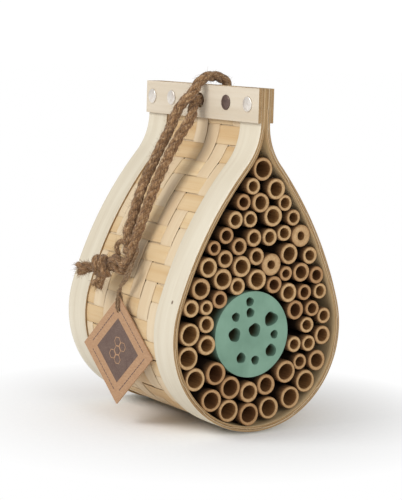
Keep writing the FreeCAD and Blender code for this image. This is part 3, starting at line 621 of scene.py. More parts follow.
# A dark knot of the bamboo, up the left side of the front band: run, y, half length and width
bamboo_knot = (136 * MM - HALF_RUN, FRONT_BAND[0].y + 8 * MM, 1.2 * MM, 0.9 * MM)
band_face = split_bamboo("band_bamboo", (226, 218, 199), (211, 200, 178), (190, 166, 136),
                         (bamboo_knot,))
band_edge = cut_edge("band_edge", (184, 154, 113), (138, 106, 70))
inner_face = split_bamboo("inner_bamboo", (222, 200, 160), (200, 170, 124), (170, 134, 90))
for seed, end in enumerate(("front", "back")):
    band_strip(f"outer_band_{end}_bamboo", f"outer_band_{end}", (0, OUTER_THICK), band_face,
               seed)
    band_strip(f"inner_band_{end}_bamboo", f"inner_band_{end}", INNER_DEPTHS, inner_face,
               seed + 5)


# -------- woven mat

WOVEN_THICK = 0.36 * MM
CROWN = 0.09 * MM             # how far a splint's face stands up in the middle
THIN_EDGE = 0.55              # thickness of its edges, as a share
PRESSED_WAVE = 0.27 * MM      # how far the splints weave under the bands
OPEN_WAVE = 0.4 * MM          # and between them
CROSSING = 2.0 * MM           # half the length over which a splint changes sides
MAT_MIDDLE = (MAT_DEPTHS[0] + MAT_DEPTHS[1]) / 2
COLUMNS = sorted(((part[:, 1].max(), part[:, 1].min()) for part in islands("mat_hoop_splints")),
                 reverse=True)
MAT_BACK = COLUMNS[0][0]
MAT_FRONT = COLUMNS[-1][1]
ROWS = len(islands("mat_cross_splints"))
ROW_PITCH = 2 * HALF_RUN / ROWS


def cross_on_top(column, row):
    """Two-over-two twill: the pattern steps one column towards the front at each row."""
    return 1 if (column - row) % 4 in (0, 1) else -1


def wave_size(y):
    """Less weave where the bands press the mat flat."""
    inside = min(BACK_BAND[0].y - y, y - FRONT_BAND[1].y)
    return PRESSED_WAVE + (OPEN_WAVE - PRESSED_WAVE) * ease(inside / (4 * MM))


def level(place, edges, sign):
    """Height of a splint in -1..1 at a place; edges are the borders of the splints it crosses
    in rising order and sign(k) tells whether it lies on top in crossing k."""
    k = sum(place > edge for edge in edges)
    here = sign(k)
    for border, beyond in ((k, k + 1), (k - 1, k - 1)):
        if not 0 <= border < len(edges):
            continue
        far = abs(edges[border] - place)
        if far < CROSSING:
            return here + (sign(beyond) - here) * ease(0.5 - far / (2 * CROSSING))
    return here


def splint_section(half_width):
    """Section of a splint as (across, outward): flat back, slightly crowned face."""
    points = []
    for share in (-1, -0.9, -0.6, -0.2, 0.2, 0.6, 0.9, 1):
        edge = WOVEN_THICK / 2 * (THIN_EDGE if abs(share) == 1 else 1)
        points.append((share * half_width, edge + CROWN * (1 - share * share)))
    for share in (1, 0.9, 0, -0.9, -1):
        edge = WOVEN_THICK / 2 * (THIN_EDGE if abs(share) == 1 else 1)
        points.append((share * half_width, -edge))
    return points


def lay_splint(build, stops, middle, half_width, limits, shape, place, tint):
    """One splint as a closed strip. shape gives its rise and its sway at a stop; place makes
    a point of the stop, the place across and the depth."""
    section = splint_section(half_width)
    rings = []
    for stop in stops:
        rise, sway = shape(stop)
        ring = []
        for across, out in section:
            aside = min(max(middle + across + sway, limits[0]), limits[1])
            ring.append((place(stop, aside, MAT_MIDDLE - rise - out),
                         (stop, middle + across, out)))
        rings.append(ring)
    build.loft(rings, cap_kind=1, tint=tint)


def weave_cross_splints(face):
    """The splints that run front to back."""
    build = Builder()
    borders = [-(column[1] + after[0]) / 2 for column, after in zip(COLUMNS, COLUMNS[1:])]
    for row in range(ROWS):
        half_width = ROW_PITCH / 2 - 0.2 * MM - draw.uniform(0, 0.3) * MM
        tint = draw.random()
        drift = draw.uniform(-0.25, 0.25) * MM
        inset = draw.uniform(0.02, 0.3) * MM

        def shape(y):
            rise = level(-y, borders, lambda k: cross_on_top(k, row)) * wave_size(y)
            return rise, drift + 0.2 * MM * noise.noise(Vector((y * 50, row * 3.1, 1)))

        lay_splint(build, steps(MAT_BACK - inset, MAT_FRONT + inset, 1.5 * MM),
                   -HALF_RUN + (row + 0.5) * ROW_PITCH, half_width, (-HALF_RUN, HALF_RUN),
                   shape, lambda y, run, depth: wall_point(run, depth, y), tint)
    build.make("mat_cross_splints_woven", [face, mat_edge], "housing",
               ("mat_cross_splints",))


def weave_hoop_splints(face):
    """The splints that run round the drop."""
    build = Builder()
    borders = [-HALF_RUN + (row + 1) * ROW_PITCH for row in range(ROWS - 1)]
    for column, (back, front) in enumerate(COLUMNS):
        middle = (back + front) / 2
        half_width = (back - front) / 2 - draw.uniform(0.0, 0.25) * MM

        def shape(run):
            rise = -level(run, borders, lambda k: cross_on_top(column, k)) * wave_size(middle)
            return rise, 0.25 * MM * noise.noise(Vector((run * 30, column * 2.3, 4)))

        lay_splint(build, steps(-HALF_RUN, HALF_RUN, 1.6 * MM), middle, half_width,
                   (MAT_FRONT, MAT_BACK), shape,
                   lambda run, y, depth: wall_point(run, depth, y), draw.random())
    build.make("mat_hoop_splints_woven", [face, mat_edge], "housing",
               ("mat_hoop_splints",))


mat_edge = cut_edge("mat_edge", (168, 134, 92), (112, 82, 52))
weave_cross_splints(split_bamboo("cross_splint", (224, 201, 162), (210, 179, 133),
                                 (200, 152, 92), fibre=1900, sheen=0.3))
weave_hoop_splints(split_bamboo("hoop_splint", (226, 208, 178), (213, 189, 153),
                                (205, 170, 118), fibre=1300, sheen=0.4))


# -------- clamp strips

clamp_face = split_bamboo("clamp_bamboo", (218, 206, 187), (204, 190, 168), (203, 180, 142))
for side in ("left", "right"):
    strip = softened(f"clamp_strip_{side}_bamboo", f"clamp_strip_{side}", 0.28 * MM,
                     [clamp_face, band_edge])
    lay_grain(strip, (1, 2, 0), 0.15)
    for polygon in strip.data.polygons:
        if max(abs(polygon.normal.y), abs(polygon.normal.z)) > 0.7:
            polygon.material_index = 1


# -------- rivets and back panel

HEAD_HEIGHT = 1.2 * MM
SHANK_RADIUS = 1.5 * MM
DARK_REFLECTION_HEAD = 2          # the third head from the back has a painted dark reflection
# A short rim, a rolled edge and a low dome: share of the radius, share of the height
HEAD_PROFILE = ((0.9, 0.0), (1.0, 0.12), (1.0, 0.3), (0.96, 0.5), (0.88, 0.62), (0.84, 0.6),
                (0.7, 0.78), (0.5, 0.9), (0.28, 0.97), (0.1, 1.0))


def lathe(build, centre, stations, count, sense, kind):
    """Solid turned about X through a centre; a station is a place along X and a radius."""
    rings = []
    for along, radius in stations:
        turns = [2 * math.pi * k / count * sense for k in range(count)]
        spots = [centre + Vector((along, radius * math.cos(turn), radius * math.sin(turn)))
                 for turn in turns]
        rings.append([(spot, tuple(spot)) for spot in spots])
    build.loft(rings, [kind] * count, kind)


def make_rivets():
    """Posts with heads on the left, caps on the right; one head has a painted dark reflection."""
    bright = rivet_shade("rivet_plated", (232, 226, 218), (200, 186, 172), 0.5)
    # the dark copy of the plating is a painted reflection of something dark
    dark_reflection = rivet_shade("rivet_painted_dark_reflection", (112, 92, 84), (78, 60, 54), 0.8)
    for node, outward in (("rivet_posts", -1), ("rivet_caps", 1)):
        build = Builder()
        for number, part in enumerate(sorted(islands(node), key=lambda part: -part[:, 1].max())):
            low = Vector(part.min(0))
            high = Vector(part.max(0))
            radius = (high.z - low.z) / 2
            seat = low.x + HEAD_HEIGHT if outward < 0 else low.x
            centre = Vector((seat, (low.y + high.y) / 2, (low.z + high.z) / 2))
            kind = 1 if outward < 0 and number == DARK_REFLECTION_HEAD else 0
            lathe(build, centre, [(outward * HEAD_HEIGHT * rise, radius * share)
                                  for share, rise in HEAD_PROFILE], 32, outward, kind)
            if outward < 0:
                shank = ((0.1 * MM, SHANK_RADIUS), (high.x - seat, SHANK_RADIUS))
                lathe(build, centre, shank, 20, 1, kind)
        build.make(f"{node}_domed", [bright, dark_reflection], "housing", (node,))


make_rivets()

panel = softened("back_panel_board", "back_panel", 0.35 * MM, [board_shade()])
lay_grain(panel, (2, 0, 1), 0.3)


# -------- drilled block

def block_holes():
    """Centre and radius of each hole's mouth, and the centre of the top right one."""
    low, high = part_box("nest_block")
    holes = []
    for loop in sharp_loops("nest_block"):
        centre = (loop.min(0) + loop.max(0)) / 2
        radius = (loop[:, 0].max() - loop[:, 0].min()) / 2
        if abs(loop[:, 1].max() - low.y) < 0.1 * MM and radius < 6 * MM:
            holes.append((centre, radius))
    top_row = [centre for centre, _ in holes if centre[2] > high.z - 20 * MM]
    return holes, max(top_row, key=lambda centre: centre[0])


def make_block():
    """The block, with hole rims that are a little ragged and one hole chipped to the right."""
    block = softened("nest_block_painted", "nest_block", 0.4 * MM, [block_paint()],
                     segments=3, least=50)
    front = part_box("nest_block")[0].y
    holes, chipped = block_holes()
    for vert in block.data.vertices:
        for centre, radius in holes:
            right = vert.co.x - centre[0]
            up = vert.co.z - centre[2]
            if not 0.5 * radius <= math.hypot(right, up) <= radius + 0.7 * MM:
                continue
            angle = math.atan2(up, right)
            ragged = 0.05 * math.sin(3 * angle + centre[0] * 900) + 0.03 * math.sin(5 * angle)
            if centre is chipped:
                ragged += 0.3 * max(0.0, math.cos(angle - 0.1)) ** 4
                ragged += 0.12 * max(0.0, math.cos(angle + 1.9)) ** 4
            grow = 1 + ragged * (1.0 if vert.co.y < front + 3 * MM else 0.4)
            vert.co.x = centre[0] + right * grow
            vert.co.z = centre[2] + up * grow
    for polygon in block.data.polygons:
        polygon.use_smooth = False


make_block()


# -------- canes

CANE_SHADES = [cane_skin(), cane_end(), cane_bore()]
CANE_SIDES = 36


def cane_profile(outer, bore, front, back):
    """Rings of a cane up its skin, over the sawn end and back down its bore: radius, y,
    material, and the place on the end from bore (0) to skin (1)."""
    wall = outer - bore
    middle = (back + front) / 2
    return ((outer, back, 0, 1), (outer, middle, 0, 1), (outer, front + 9 * MM, 0, 1),
            (outer, front + 2.5 * MM, 0, 1), (outer - 0.03 * MM, front + 0.55 * MM, 1, 1),
            (outer - 0.3 * MM, front + 0.1 * MM, 1, 0.85), (bore + 0.66 * wall, front, 1, 0.6),
            (bore + 0.33 * wall, front + 0.03 * MM, 1, 0.3),
            (bore + 0.22 * MM, front + 0.12 * MM, 1, 0.1), (bore, front + 0.5 * MM, 2, 0),
            (bore - 0.1 * MM, front + 3 * MM, 2, 0), (bore - 0.15 * MM, front + 12 * MM, 2, 0),
            (bore - 0.15 * MM, middle, 2, 0), (bore, back, 0, 0))


def cane(build, part):
    """One hollow cane, not quite round, its front end sawn a little unevenly."""
    low = part.min(0)
    high = part.max(0)
    centre_x = (low[0] + high[0]) / 2
    centre_z = (low[2] + high[2]) / 2
    outer = (high[0] - low[0]) / 2
    bore = np.hypot(part[:, 0] - centre_x, part[:, 2] - centre_z).min()
    front = low[1]
    oval = draw.uniform(0.01, 0.035)
    lean = draw.uniform(0, math.pi)
    lump = draw.uniform(0, 2 * math.pi)
    slant = draw.uniform(-0.25, 0.25) * MM
    inner_oval = draw.uniform(0.01, 0.05)
    tint = draw.random()
    seed = draw.uniform(0, 50)
    profile = cane_profile(outer, bore, front, high[1])
    rings = []
    for radius, y, _, _ in profile:
        near_end = max(0.0, 1 - (y - front) / (3 * MM))
        ring = []
        for k in range(CANE_SIDES):
            turn = 2 * math.pi * k / CANE_SIDES
            right = math.cos(turn)
            up = math.sin(turn)
            if radius < (outer + bore) / 2:
                squeeze = inner_oval * math.cos(2 * (turn - lean - 0.4))
            else:
                squeeze = oval * (1 - math.cos(2 * (turn - lean))) / 2
                squeeze += 0.006 * (1 + math.sin(3 * turn + lump))
            rough = noise.noise(Vector((right * 2 + seed, up * 2, y * 90)))
            here = radius * (1 - squeeze) + 0.08 * MM * rough * near_end
            sawn = (slant * math.cos(turn - lean) + 0.16 * MM * rough) * near_end
            ring.append((Vector((centre_x + here * right, y + sawn, centre_z + here * up)),
                         (y + seed, radius * right, radius * up)))
        rings.append(ring)
    build.loop(rings, [row[2] for row in profile], tint=tint,
               ring=[row[3] for row in profile for _ in range(CANE_SIDES)])


for node in sorted(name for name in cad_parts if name.startswith("canes_")):
    bundle = Builder()
    for part in islands(node):
        cane(bundle, part)
    bundle.make(f"{node}_hollow", CANE_SHADES, "housing", (node,))


# -------- paths

def trace(node, near):
    """Middle line of a round cord, from the end nearest a place to the other end."""
    mesh = node_mesh(node)
    verts = np.array([vert.co for vert in mesh.verts])
    edges = np.array([[vert.index for vert in edge.verts] for edge in mesh.edges])
    mesh.free()
    caps = sorted(sharp_loops(node), key=lambda loop: (Vector(loop.mean(0)) - near).length)
    ends = [(loop.min(0) + loop.max(0)) / 2 for loop in (caps[0], caps[-1])]
    radius = np.linalg.norm(caps[0] - ends[0], axis=1).mean()
    heading = np.linalg.svd(caps[0] - ends[0])[2][2]
    if np.dot(verts.mean(0) - ends[0], heading) < 0:
        heading = -heading
    line = [ends[0]]
    step = 0.3 * radius
    while np.linalg.norm(ends[1] - line[-1]) > 1.2 * step:
        guess = line[-1] + heading * step
        cuts = cut_across(verts, edges, guess, heading)
        cuts = cuts[np.linalg.norm(cuts - guess, axis=1) < 1.8 * radius]
        if len(cuts) < 6:
            break
        middle = even_middle(cuts, guess, heading)
        heading = 0.5 * heading + 0.5 * (middle - line[-1]) / np.linalg.norm(middle - line[-1])
        heading = heading / np.linalg.norm(heading)
        line.append(middle)
    line.append(ends[1])
    return [Vector(place) for place in line]


def cut_across(verts, edges, place, heading):
    """Points where a mesh's edges pass the plane through a place, square to a heading."""
    side = (verts - place) @ heading
    crossing = edges[side[edges[:, 0]] * side[edges[:, 1]] < 0]
    first = verts[crossing[:, 0]]
    second = verts[crossing[:, 1]]
    share = side[crossing[:, 0]] / (side[crossing[:, 0]] - side[crossing[:, 1]])
    return first + (second - first) * share[:, None]


def even_middle(cuts, guess, heading):
    """Middle of a ring of points, each weighted by the length of ring it stands for."""
    aside = np.cross(heading, [0.3, 0.9, 0.2])
    aside = aside / np.linalg.norm(aside)
    other = np.cross(heading, aside)
    order = np.argsort(np.arctan2((cuts - guess) @ other, (cuts - guess) @ aside))
    ring = cuts[order]
    after = np.roll(ring, -1, axis=0)
    lengths = np.linalg.norm(after - ring, axis=1)[:, None]
    return ((ring + after) / 2 * lengths).sum(0) / max(lengths.sum(), 1e-9)


def smooth_line(points, spacing):
    """Evenly spaced points along a path, its corners eased."""
    for _ in range(3):
        eased = [here * 0.5 + (before + after) * 0.25
                 for before, here, after in zip(points, points[1:], points[2:])]
        points = [points[0]] + eased + [points[-1]]
    lengths = [0.0]
    for here, after in zip(points, points[1:]):
        lengths.append(lengths[-1] + (after - here).length)
    count = max(2, round(lengths[-1] / spacing))
    line = []
    k = 0
    for number in range(count + 1):
        want = lengths[-1] * number / count
        while k < len(points) - 2 and lengths[k + 1] < want:
            k += 1
        share = (want - lengths[k]) / max(lengths[k + 1] - lengths[k], 1e-9)
        line.append(points[k].lerp(points[k + 1], share))
    return line


def through(points):
    """Smooth curve through a few places, with eight points to a span."""
    padded = [points[0] * 2 - points[1]] + points + [points[-1] * 2 - points[-2]]
    line = []
    for a, b, c, d in zip(padded, padded[1:], padded[2:], padded[3:]):
        for t in (k / 8 for k in range(8)):
            line.append(0.5 * ((2 * b) + (c - a) * t + (2 * a - 5 * b + 4 * c - d) * t * t
                               + (3 * b - a - 3 * c + d) * t ** 3))
    return line + [points[-1]]


def coil(centre, axis, radius, turns, rise, start):
    """Helix about an axis through a centre, with twenty points to a turn."""
    axis = axis.normalized()
    side = axis.orthogonal().normalized()
    other = axis.cross(side)
    count = round(turns * 20)
    return [centre + axis * rise * (k / count - 0.5)
            + turned(side, other, start + 2 * math.pi * turns * k / count) * radius
            for k in range(count + 1)]


def frames_along(line):
    """Heading and two side directions at each point, carried along without twisting."""
    headings = [(after - before).normalized()
                for before, after in zip([line[0]] + line[:-1], line[1:] + [line[-1]])]
    side = headings[0].orthogonal().normalized()
    found = []
    for heading in headings:
        side = (side - heading * side.dot(heading)).normalized()
        found.append((heading, side, heading.cross(side)))
    return found


# -------- cords

PLY_SHARE = {2: 0.54, 3: 0.57}     # radius of a ply as a share of the cord's, by plies
JUTE_HAIR = 4.5 * MM               # longest loose hair of the rope
TWINE_HAIR = 2.6 * MM              # and of the twine


class Cord:
    """A cord laid from plies along a path; lay is the length of one twist."""

    def __init__(self, path, radius, lay, plies=3, spacing=0.8 * MM, seed=0.0, sides=10):
        self.line = smooth_line(path, spacing)
        self.last = len(self.line) - 1
        self.spacing = spacing
        self.frames = frames_along(self.line)
        self.radius = radius
        self.lay = lay
        self.plies = plies
        self.seed = seed
        self.sides = sides
        self.ply_radius = radius * PLY_SHARE[plies]

    def nearest(self, spot):
        return min(range(self.last + 1), key=lambda k: (self.line[k] - spot).length)

    def mesh(self, build, first, last, fray=0):
        """Adds plies from one path point to another; fray spreads them over the last points."""
        offset = self.radius - self.ply_radius
        for ply in range(self.plies):
            middles = []
            for k in range(first, last + 1):
                _, side, other = self.frames[k]
                turn = 2 * math.pi * (k * self.spacing / self.lay + ply / self.plies)
                spread = 1.0
                if last - k < fray:
                    spread += 1.1 * (1 - (last - k) / fray)
                loose = 1 + 0.07 * noise.noise(Vector((k * 0.09, ply * 5 + self.seed, 2)))
                middles.append(self.line[k] + turned(side, other, turn) * offset * spread * loose)
            self.tube(build, middles, ply, first)

    def tube(self, build, middles, ply, first):
        """One ply as a lumpy tube, its painted crease shade rising towards the cord's middle."""
        rings = []
        creases = []
        for k, ((_, side, other), middle) in enumerate(zip(frames_along(middles), middles), first):
            ring = []
            for corner in range(self.sides):
                turn = 2 * math.pi * corner / self.sides
                fat = 1 + 0.12 * noise.noise(Vector((k * 0.35, math.cos(turn) + ply * 3,
                                                     math.sin(turn) + self.seed)))
                spot = middle + turned(side, other, turn) * self.ply_radius * fat
                yarn = turn + 2 * math.pi * k * self.spacing / (0.55 * self.lay)
                ring.append((spot, (k * self.spacing + self.seed, math.cos(yarn),
                                    math.sin(yarn) + ply)))
                # painted shade: the value grows towards the cord's middle, in the grooves between
                # plies
                from_axis = (spot - self.line[k]).length / self.radius
                creases.append(min(max((0.82 - from_axis) / 0.4, 0.0), 1.0))
            rings.append(ring)
        build.loft(rings, crease=creases)

    def hairs(self, build, first, last, count, longest):
        """Loose hairs standing off the cord, each a thin tapering thread."""
        for _ in range(count):
            k = draw.randint(first, last)
            heading, side, other = self.frames[k]
            out = turned(side, other, draw.uniform(0, 2 * math.pi))
            along = heading * draw.choice((-1, 1)) * draw.uniform(0.2, 1.4)
            hair(build, self.line[k] + out * self.radius * 0.9, (out * 0.5 + along).normalized(),
                 longest * draw.uniform(0.35, 1.0))

    def brush(self, build, reach, count, spread):
        """Fibres fanning out of the frayed last end."""
        heading, side, other = self.frames[self.last]
        for _ in range(count):
            out = turned(side, other, draw.uniform(0, 2 * math.pi))
            share = math.sqrt(draw.random())
            start = self.line[self.last - draw.randint(0, reach)] + out * self.radius * share
            go = (heading + out * share * spread * draw.uniform(0.4, 1.2)).normalized()
            hair(build, start, go, draw.uniform(2.0, 5.5) * MM, draw.uniform(0.1, 0.22) * MM)


def hair(build, start, go, length, thick=0.075 * MM):
    """One thin curved thread with three sides, of the builder's second material."""
    curl = Vector((draw.uniform(-1, 1), draw.uniform(-1, 1), draw.uniform(-1, 0.6)))
    rings = []
    middle = start - go * 0.4 * MM
    for k in range(5):
        side = go.orthogonal().normalized()
        other = go.cross(side)
        radius = thick * (1 - 0.75 * k / 4)
        rings.append([(middle + turned(side, other, 2 * math.pi * corner / 3) * radius, (0, 0, 0))
                      for corner in range(3)])
        go = (go + curl * 0.22).normalized()
        middle = middle + go * length / 4
    build.loft(rings, [1] * 3, 1, crease=0.0)


def lay_twine(build, course, radius, seed, hairs=0):
    """A thin cord of two plies along the whole of a course."""
    cord = Cord(course, radius, 5 * MM, plies=2, spacing=0.5 * MM, seed=seed, sides=8)
    cord.mesh(build, 0, cord.last)
    cord.hairs(build, 0, cord.last, hairs, TWINE_HAIR)


LOOSE_HAIR = loose_hair_shade()
JUTE = [cord_shade("jute", (174, 133, 92), (74, 48, 27), (222, 189, 146), 600), LOOSE_HAIR]
TWINE = [cord_shade("twine", (184, 150, 112), (120, 90, 60), (206, 176, 138), 1500), LOOSE_HAIR]


# -------- rope

ROPE_RADIUS = 3.25 * MM
ROPE_LAY = 19 * MM
BEND_REACH = 9 * MM      # a distance along the rope to either side of a joint


def rope_path():
    """The whole rope's middle line, and the places where its CAD pieces meet."""
    path = []
    partings = []
    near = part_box("rope_outer_strand_low")[0]
    for node in ("rope_outer_strand_low", "rope_outer_strand_top", "rope_saddle",
                 "rope_inner_strand_top", "rope_inner_strand_low"):
        line = trace(node, near)
        if path:
            partings.append((path[-1] + line[0]) / 2)
            path = path[:-1]
            line = line[1:]
        path += line
        near = path[-1]
    return path, partings


def make_rope():
    """The loop in five pieces, each across at most one joint; only the saddle rides on a body."""
    path, partings = rope_path()
    rope = Cord(path, ROPE_RADIUS, ROPE_LAY)
    bend_outer, lift_outer, lift_inner, bend_inner = (rope.nearest(spot) for spot in partings)
    reach = round(BEND_REACH / rope.spacing)
    outer_half = (bend_outer + lift_outer) // 2
    inner_half = (lift_inner + bend_inner) // 2
    arch = lift_outer + round(11 * MM / rope.spacing)
    mouth = lift_inner - round(3.5 * MM / rope.spacing)
    spans = (
        ("rope_outer_low_laid", 0, outer_half, "rope_lower", "rope_upper",
         bend_outer, "rope_outer_strand_low"),
        ("rope_outer_top_laid", outer_half, arch, "rope_upper", "housing",
         lift_outer, "rope_outer_strand_top"),
        ("rope_saddle_laid", arch, mouth, "housing", "housing", None, "rope_saddle"),
        ("rope_inner_top_laid", mouth, inner_half, "housing", "rope_upper",
         lift_inner, "rope_inner_strand_top"),
        ("rope_inner_low_laid", inner_half, rope.last, "rope_upper", "rope_lower",
         bend_inner, "rope_inner_strand_low"),
    )
    for name, first, end, body, other, joint, node in spans:
        build = Builder()
        rope.mesh(build, first, end)
        rope.hairs(build, first, end, (end - first) * 4, JUTE_HAIR)
        if joint is None:
            build.make(name, JUTE, body, (node,))
            continue
        laid = build.make(name, JUTE, None, (node,))
        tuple(rope.line[max(joint - reach, first)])
        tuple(rope.line[min(joint + reach, end)])
        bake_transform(laid)
    return rope


# -------- knot

KNOT_LOW, KNOT_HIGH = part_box("rope_knot")
BIGHT = Vector((KNOT_HIGH.x - 5.5 * MM, KNOT_LOW.y + 8 * MM, KNOT_HIGH.z - 14 * MM))
WRAP = Vector((KNOT_LOW.x + 8 * MM, KNOT_HIGH.y - 7.2 * MM, KNOT_LOW.z + 9 * MM))


def beside(place, *offsets):
    """Places at offsets in millimetres from a place."""
    return [place + Vector(offset) * MM for offset in offsets]


def make_knot(rope):
    """Both strands tied in one overhand knot, their frayed cut ends sticking out of it."""
    outer_course = (
        beside(rope.line[0], (0.8, 0, 5), (0, 0, 0))
        + beside(BIGHT, (2.0, 0.5, 9), (2.0, -1.5, 2.5), (0.8, -1.2, -4.4), (-1.2, 2, -6.9),
                 (-4.2, 6.3, -4.8))
        + beside(WRAP, (1.6, -4.2, 1.2), (-2.4, 1.2, 0.4), (-6, 7.3, -0.8), (-9.2, 11.8, -2)))
    inner_course = (
        beside(rope.line[-1], (1.4, 0, 5), (0, 0, 0))
        + beside(BIGHT, (3.2, -2.8, 8.5), (0.8, -4.6, 2.5), (-1.8, -1.8, -2.8), (-4.6, 4.2, 0))
        + beside(WRAP, (1.6, -5, 1.4), (-1.2, -2.4, -4.4), (-2.2, -0.8, -8), (-2.8, 0.2, -10.8)))
    ear = beside(BIGHT, (-0.6, -1.2, 9), (-2.6, 1.6, 10.8), (-4.2, 3.6, 8.2), (-4.2, 3.8, 5),
                 (-3.2, 2.2, 2.2))
    turns = coil(WRAP + Vector((-0.9, -0.9, 0.8)) * MM, Vector((-9, 13, -2)), 4.7 * MM, 1.9,
                 7.2 * MM, 2.2)
    collar = coil(BIGHT + Vector((2, -1.2, 6)) * MM, Vector((0.1, -0.2, 1)), 2.6 * MM, 1.2,
                  4 * MM, 0.5)
    # Course, radius in millimetres, and how many points fray and how far they spread
    courses = ((through(outer_course), 3.1, 10, 3), (through(inner_course), 3.1, 4, 2),
               (turns, 3.0, 0, 0), (through(ear), 1.5, 0, 0), (collar, 2.3, 0, 0))
    build = Builder()
    for number, (course, radius, fray, spread) in enumerate(courses):
        cord = Cord(course, radius * MM, 17 * MM, seed=number * 4.7 + 3)
        cord.mesh(build, 0, cord.last, fray)
        cord.hairs(build, 2, cord.last, cord.last * 6, JUTE_HAIR)
        cord.brush(build, fray, 90 * spread, 0.35 * spread)
    build.make("rope_knot_tied", JUTE, "rope_lower", ("rope_knot", "rope_cut_ends"))


make_knot(make_rope())


# -------- tag

UP = Vector((0, 0, 1))


def tag_axes():
    """Middle of the tag, its outward face direction, and the level direction along it."""
    verts = np.array([vert.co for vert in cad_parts["tag"].data.vertices])
    low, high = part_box("tag")
    out = Vector(np.linalg.svd(verts - verts.mean(0))[2][2])
    if out.x > 0:
        out = -out
    return (low + high) / 2, out, UP.cross(out).normalized()


TAG_CENTRE, TAG_OUT, TAG_ALONG = tag_axes()
TAG_SIDE = (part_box("tag")[1].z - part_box("tag")[0].z) / 2 * math.sqrt(2)
TAG_FACE = 0.5 * MM     # from the middle of the card to its printed face
PRINT_SINK = 0.04 * MM  # how deep print is sunk into the card
PRINT_THICK = 0.03 * MM
CELL_THICK = 0.06 * MM  # cells stand over the square they are printed on
CELL = 3.1 * MM         # from the middle of a honeycomb cell to its corners
CELL_BAR = 0.45 * MM    # width of its outline


def on_tag(right, up, lift):
    """Point off the printed face; right and up are along the edges of the card, which hangs
    from one corner."""
    diagonal = math.sqrt(0.5)
    return (TAG_CENTRE + TAG_ALONG * ((right - up) * diagonal) + UP * ((right + up) * diagonal)
            + TAG_OUT * (TAG_FACE + lift))


def plate(build, outline, thick, kind=0):
    """Thin printed shape on the card, sunk slightly into it."""
    rings = [[(on_tag(right, up, lift), (right, up, 0)) for right, up in outline]
             for lift in (-PRINT_SINK, thick)]
    build.loft(rings, [kind] * len(outline), kind)


def rectangle(build, right, up, half_long, half_tall):
    """Printed rectangle."""
    plate(build, [(right + half_long * x, up + half_tall * y)
                  for x, y in ((-1, -1), (1, -1), (1, 1), (-1, 1))], PRINT_THICK)


def honeycomb_cell(build, right, up):
    """Six thin bars of bare card round a cell."""
    turns = [math.radians(15 + 60 * k) for k in range(7)]
    outer, inner = ([(right + radius * math.cos(turn), up + radius * math.sin(turn))
                     for turn in turns] for radius in (CELL, CELL - CELL_BAR))
    for k in range(6):
        plate(build, [outer[k], outer[k + 1], inner[k + 1], inner[k]], CELL_THICK, 1)


def make_tag():
    """Kraft card printed with a dark square, a few honeycomb cells and lines of dashes."""
    card = kraft_shade()
    softened("tag_card_kraft", "tag", 0.12 * MM, [card], "tag_card")
    build = Builder()
    rectangle(build, 0, 0, 0.3 * TAG_SIDE, 0.3 * TAG_SIDE)
    honeycomb_cell(build, 0, 0)
    step = CELL * math.sqrt(3)
    for k in (0, 1, 3, 4):
        turn = math.radians(-15 + 60 * k)
        honeycomb_cell(build, step * math.cos(turn), step * math.sin(turn))
    line = 0.405 * TAG_SIDE
    for side in range(4):
        place = -0.33 * TAG_SIDE
        while place < 0.33 * TAG_SIDE:
            half = draw.uniform(0.5, 1.5) * MM
            at = place + half
            right, up = ((at, line), (line, at), (at, -line), (-line, at))[side]
            halves = (half, 0.3 * MM) if side in (0, 2) else (0.3 * MM, half)
            if side != 0 or at < 0.26 * TAG_SIDE:
                rectangle(build, right, up, *halves)
            place = at + half + 0.5 * MM
    build.make("tag_print", [ink_shade(), card], "tag_card", smooth=False)


# -------- the tag's twine

def tie_loop(build, tie, hole):
    """The tag's tie: two strands through the hole of the card, and the wraps above."""
    arm = TAG_OUT * 1.45 * MM
    stand_off = TAG_OUT * 0.5 * MM
    above = UP * 1.3 * MM
    for shift, seed in ((-0.5, 31), (0.6, 33)):
        aside = TAG_ALONG * shift * MM
        neck = tie.lerp(hole, 0.45) + aside * 1.6
        middle = hole + aside
        lay_twine(build, through([tie - stand_off, neck - arm, middle - arm + above, middle,
                                  middle + arm + above, neck + arm, tie + stand_off]),
                  0.75 * MM, seed, 40)
    lay_twine(build, coil(tie, Vector((0.2, 0.3, 1)), 1.1 * MM, 2.1, 2.4 * MM, 0.4),
              0.7 * MM, 32)


def make_twine():
    """Doubled twine from the tag up to the knot, the tag's tie, and the hitch on the knot."""
    line = trace("tag_twine", Vector((0, 0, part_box("tag_twine")[1].z)))
    low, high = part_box("tag_loop")
    hole = Vector(((low.x + high.x) / 2, (low.y + high.y) / 2, low.z + 0.8 * MM))
    tie = Vector((hole.x, hole.y, high.z - 2 * MM))
    line.append(tie)
    build = Builder()
    for shift, seed in ((-0.55, 21), (0.55, 22)):
        apart = Vector((0.25, shift, 0)) * MM
        lay_twine(build, [place + apart * math.cos(3.0 * k / len(line))
                          for k, place in enumerate(line)], 0.62 * MM, seed, 26)
    build.make("tag_twine_doubled", TWINE, "twine", ("tag_twine",))
    build = Builder()
    tie_loop(build, tie, hole)
    build.make("tag_loop_tied", TWINE, "tag_card", ("tag_loop",))
    build = Builder()
    for shift, seed in ((-0.5, 41), (0.5, 42)):
        course = [place + Vector((shift, 0, 0)) * MM for place in beside(
            BIGHT, (3.4, -2.4, 8.6), (4.2, -6.2, 6.4), (1.4, -9.2, 2.6))]
        lay_twine(build, through(course + [line[0]]), 0.6 * MM, seed, 20)
    build.make("tag_twine_hitch", TWINE, "rope_lower")


make_tag()
make_twine()


# -------- stage, light and camera

